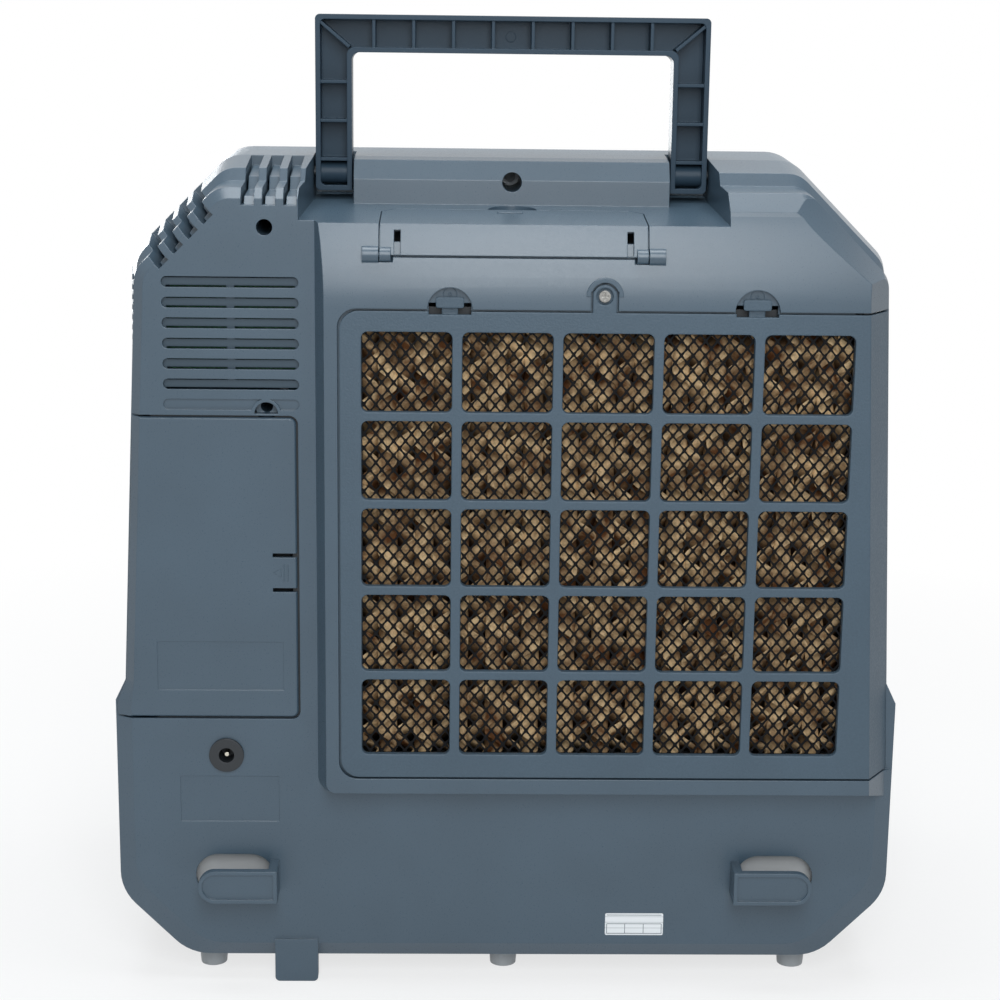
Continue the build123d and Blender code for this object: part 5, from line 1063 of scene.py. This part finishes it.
@dataclass
class MouldedMarks(Marks):
    """Arrow on the door's tongue, dots on the latches, ejector mark in the handle and the lid's catch."""

    thick: float = 0.25 * MM
    tongue_spot: Spot = (-115.6 * MM, 224.9 * MM)
    arrow_size: float = 2.6 * MM
    arrow_x: float = -2.4 * MM
    bar_size: Spot = (0.7 * MM, 9.0 * MM)
    bar_corner: float = 0.2 * MM
    bar_xs: tuple[float, ...] = (0.4 * MM, 2.2 * MM)
    latch_xs: tuple[float, ...] = (-31.3 * MM, 120.7 * MM)
    latch_z: float = 370.0 * MM
    dot_radius: float = 0.9 * MM
    dot_hole: float = 0.45 * MM
    ejector_spot: Spot = (-1.0 * MM, 493.9 * MM)
    ejector_radius: float = 2.7 * MM
    catch_spot: Spot = (-1.4 * MM, -82.0 * MM)
    catch_size: Place = (13.0 * MM, 4.6 * MM, 0.5 * MM)
    catch_corner: float = 0.8 * MM
    catch_edge: float = 0.2 * MM

    def tongue_arrow(self, shop: Workshop) -> None:
        """Arrow that points to the left, with two bars behind it.

        Args:
            shop: Where the piece is handed over.
        """
        seat = self.from_behind(shop, "battery_door", self.tongue_spot)
        turn = Matrix.Rotation(math.pi / 2, 4, "Z")
        parts = [(disc(self.arrow_size, self.thick, 3), shifted(self.arrow_x, 0) @ turn)]
        parts += [(plate(*self.bar_size, self.thick, self.bar_corner), shifted(x, 0)) for x in self.bar_xs]
        self.stick(shop, parts, seat, "tongue_arrow", "door", "housing_plastic", "housing_plastic")

    def latch_dots(self, shop: Workshop) -> None:
        """Small ring over each latch of the grille.

        Args:
            shop: Where the pieces are handed over.
        """
        for index, x in enumerate(self.latch_xs, 1):
            seat = self.from_behind(shop, "rear_housing", (x, self.latch_z))
            dot = [(disc(self.dot_radius, self.thick, 16, self.dot_hole), Matrix())]
            self.stick(shop, dot, seat, f"latch_dot_{index}", "housing", "housing_plastic", "housing_plastic")

    def ejector_mark(self, shop: Workshop) -> None:
        """Round mark of an ejector pin in the handle.

        Args:
            shop: Where the piece is handed over.
        """
        seat = self.from_behind(shop, "carry_handle", self.ejector_spot)
        mark = [(disc(self.ejector_radius, self.thick, 28), Matrix())]
        self.stick(shop, mark, seat, "ejector_mark", "handle", "handle_plastic", "handle_plastic")

    def lid_catch(self, shop: Workshop) -> None:
        """Raised bar by which a finger lifts the lid.

        Args:
            shop: Where the piece is handed over.
        """
        seat = shop.seat("fill_lid", (*self.catch_spot, 1.0), (0, 0, -1))
        catch = [(plate(*self.catch_size, self.catch_corner, self.catch_edge), Matrix())]
        self.stick(shop, catch, seat, "lid_catch", "lid", "housing_plastic", "housing_plastic")

    def build(self, shop: Workshop) -> None:
        """Make all moulded marks.

        Args:
            shop: Where the pieces are handed over.
        """
        self.tongue_arrow(shop)
        self.latch_dots(shop)
        self.ejector_mark(shop)
        self.lid_catch(shop)


@dataclass
class ButtonSymbols(Marks):
    """Plain symbols printed on the three buttons: on, fan and drop."""

    button_x: float = -124.0 * MM
    button_zs: tuple[float, ...] = (306.0 * MM, 270.0 * MM, 234.0 * MM)
    thick: float = 0.15 * MM
    ring_radius: float = 3.2 * MM
    ring_hole: float = 2.6 * MM
    bar_size: Spot = (0.7 * MM, 3.4 * MM)
    bar_corner: float = 0.2 * MM
    bar_y: float = 2.4 * MM
    bar_proud: float = 0.04 * MM
    wings: int = 3
    wing_size: Spot = (1.7 * MM, 2.6 * MM)
    wing_corner: float = 0.7 * MM
    wing_y: float = 2.0 * MM
    hub_radius: float = 0.7 * MM
    drop_radius: float = 2.2 * MM
    drop_crown: float = 2.1 * MM
    drop_tip: float = 2.4 * MM

    def power(self) -> list[tuple[bmesh.types.BMesh, Matrix]]:
        """Ring with a bar across its top.

        Returns:
            Meshes of the symbol, with their places.
        """
        ring = disc(self.ring_radius, self.thick, 28, self.ring_hole)
        bar = plate(*self.bar_size, self.thick, self.bar_corner)
        return [(ring, Matrix()), (bar, shifted(0, self.bar_y, self.bar_proud))]

    def speed(self) -> list[tuple[bmesh.types.BMesh, Matrix]]:
        """Fan with its wings round a hub.

        Returns:
            Meshes of the symbol, with their places.
        """
        parts = []
        for index in range(self.wings):
            turn = Matrix.Rotation(math.tau * index / self.wings, 4, "Z")
            wing = plate(*self.wing_size, self.thick, self.wing_corner)
            parts.append((wing, turn @ shifted(0, self.wing_y)))
        parts.append((disc(self.hub_radius, self.thick, 16), Matrix()))
        return parts

    def pump(self) -> list[tuple[bmesh.types.BMesh, Matrix]]:
        """Drop: a disc whose crown is drawn out to a tip.

        Returns:
            Mesh of the symbol, with its place.
        """
        drop = disc(self.drop_radius, self.thick, 24)
        for vertex in drop.verts:
            if vertex.co.y > self.drop_crown:
                vertex.co.y += self.drop_tip
        return [(drop, Matrix())]

    def build(self, shop: Workshop) -> None:
        """Print each symbol on the middle of its button.

        Args:
            shop: Where the pieces are handed over.
        """
        symbols = {"power": self.power(), "speed": self.speed(), "pump": self.pump()}
        for (name, parts), z in zip(symbols.items(), self.button_zs):
            button = f"{name}_button"
            seat = shop.seat(button, (self.button_x, 1.0, z), (0, -1, 0))
            self.stick(shop, parts, seat, f"{name}_symbol", button, "symbol_print", "panel_gloss")


@dataclass(frozen=True)
class Lamp:
    """Soft rectangular lamp: place, point that it faces, width and height of its face, watts."""

    name: str
    place: Place
    aim: Place
    size: Spot
    power: float

    def hang(self, tint: Place) -> None:
        """Hang the lamp.

        Args:
            tint: Colour of its light.
        """
        data = bpy.data.lights.new(self.name, "AREA")
        data.shape = "RECTANGLE"
        data.size, data.size_y = self.size
        data.energy = self.power
        data.color = tint
        lamp = bpy.data.objects.new(self.name, data)
        lamp.location = self.place
        lamp.rotation_euler = (Vector(self.aim) - Vector(self.place)).to_track_quat("-Z", "Y").to_euler()
        bpy.context.scene.collection.objects.link(lamp)


@dataclass
class Studio:
    """White studio: floor, world, soft lamps and the camera."""

    eye: Place = (-0.028184, -1.150561, 0.496812)
    right: Place = (0.99974, -0.019352, 0.012062)
    up: Place = (-0.007553, 0.218087, 0.975900)
    back: Place = (-0.021516, -0.975737, 0.217884)
    lens: float = 75.6
    sensor: float = 36.0
    floor_half: float = 6.0
    floor_tones: tuple[str, str] = ("e9ebec", "f1f2f3")
    floor_fibre: float = 4 * MM
    floor_roughness: float = 0.9
    fade_from: float = 0.25
    fade_to: float = 0.9
    near_white: float = 0.72
    ambient: float = 0.14
    sky: Colour = (0.93, 0.97, 1.0, 1.0)
    white: Colour = (1.0, 1.0, 1.0, 1.0)
    tint: Place = (0.95, 0.98, 1.0)
    lamps: tuple[Lamp, ...] = (
        Lamp("key", (0.05, -1.44, 1.06), (0.03, -0.10, 0.38), (0.62, 1.25), 19.0),
        Lamp("overhead", (0.0, 0.0, 1.6), (0.0, 0.0, 0.4), (1.2, 0.8), 18.0),
        Lamp("front_fill", (-0.7, 1.6, 0.35), (0.0, 0.1, 0.22), (1.2, 0.5), 9.0),
    )

    def set_camera(self) -> None:
        """Stand the camera where the photograph was taken."""
        data = bpy.data.cameras.new("camera")
        data.lens = self.lens
        data.sensor_width = self.sensor
        camera = bpy.data.objects.new("camera", data)
        columns = zip(self.right, self.up, self.back, self.eye)
        camera.matrix_world = Matrix([*columns, (0, 0, 0, 1)])
        bpy.context.scene.collection.objects.link(camera)
        bpy.context.scene.camera = camera

    def set_world(self) -> None:
        """Soft grey light all round, white where the background is seen."""
        world = bpy.data.worlds.new("studio")
        bpy.context.scene.world = world
        world.use_nodes = True
        tree = world.node_tree
        tree.nodes.clear()
        output = tree.nodes.new("ShaderNodeOutputWorld")
        mix = tree.nodes.new("ShaderNodeMixShader")
        soft = tree.nodes.new("ShaderNodeBackground")
        white = tree.nodes.new("ShaderNodeBackground")
        soft.inputs["Strength"].default_value = self.ambient
        soft.inputs["Color"].default_value = self.sky
        white.inputs["Color"].default_value = self.white
        tree.links.new(self.seen(tree), mix.inputs["Fac"])
        tree.links.new(soft.outputs[0], mix.inputs[1])
        tree.links.new(white.outputs[0], mix.inputs[2])
        tree.links.new(mix.outputs[0], output.inputs["Surface"])

    @staticmethod
    def seen(tree: bpy.types.NodeTree) -> Any:
        """Tell the rays that show the background.

        Args:
            tree: Node tree of the world or of a material.

        Returns:
            Socket that is one for camera, mirror and see-through rays.
        """
        path = tree.nodes.new("ShaderNodeLightPath")
        total = path.outputs["Is Camera Ray"]
        for name in ("Is Glossy Ray", "Is Transmission Ray"):
            either = tree.nodes.new("ShaderNodeMath")
            either.operation = "MAXIMUM"
            tree.links.new(total, either.inputs[0])
            tree.links.new(path.outputs[name], either.inputs[1])
            total = either.outputs[0]
        return total

    def set_floor(self) -> None:
        """Pale floor that keeps a soft shadow and runs out to white."""
        mesh = bmesh.new()
        bmesh.ops.create_grid(mesh, x_segments=2, y_segments=2, size=self.floor_half)
        data = bpy.data.meshes.new("floor")
        mesh.to_mesh(data)
        mesh.free()
        floor = bpy.data.objects.new("floor", data)
        bpy.context.scene.collection.objects.link(floor)
        sheet = ShaderSheet("floor_paper")
        fibre = sheet.noise(self.floor_fibre, 3.0)
        tint = sheet.blend(fibre, *(shade(tone) for tone in self.floor_tones))
        sheet.fit(Base_Color=tint, Roughness=self.floor_roughness)
        glow = sheet.add("Emission", Color=self.white, Strength=1.0)
        far = sheet.add("VectorMath")
        far.operation = "LENGTH"
        sheet.join(sheet.place, far.inputs[0])
        fade = sheet.span(far.outputs["Value"], self.near_white, 1.0, self.fade_from, self.fade_to)
        amount = sheet.times(self.seen(sheet.tree), fade)
        mix = sheet.add("MixShader", Fac=amount)
        sheet.join(sheet.shader.outputs["BSDF"], mix.inputs[1])
        sheet.join(glow.outputs[0], mix.inputs[2])
        sheet.join(mix.outputs[0], sheet.output.inputs["Surface"])
        data.materials.append(sheet.material)

    def build(self) -> None:
        """Set up the camera, world, floor and lamps."""
        self.set_camera()
        self.set_world()
        self.set_floor()
        for lamp in self.lamps:
            lamp.hang(self.tint)
        bpy.context.scene.view_settings.view_transform = "Standard"


def main() -> None:
    """Load the model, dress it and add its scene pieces."""
    logging.basicConfig(level=logging.INFO, format="%(name)s %(message)s")
    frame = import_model()
    Studio().build()
    shop = Workshop(frame, Finishes())
    Mouldings().dress(shop)
    DustNet().build(shop)
    WetPad().build(shop)
    # Dark plate that stands in for shade inside the cooler, behind the pad
    ShadeBackingPlate().build(shop)
    for marks in (Sticker(), MouldedMarks(), ButtonSymbols()):
        marks.build(shop)


if __name__ == "__main__":
    main()
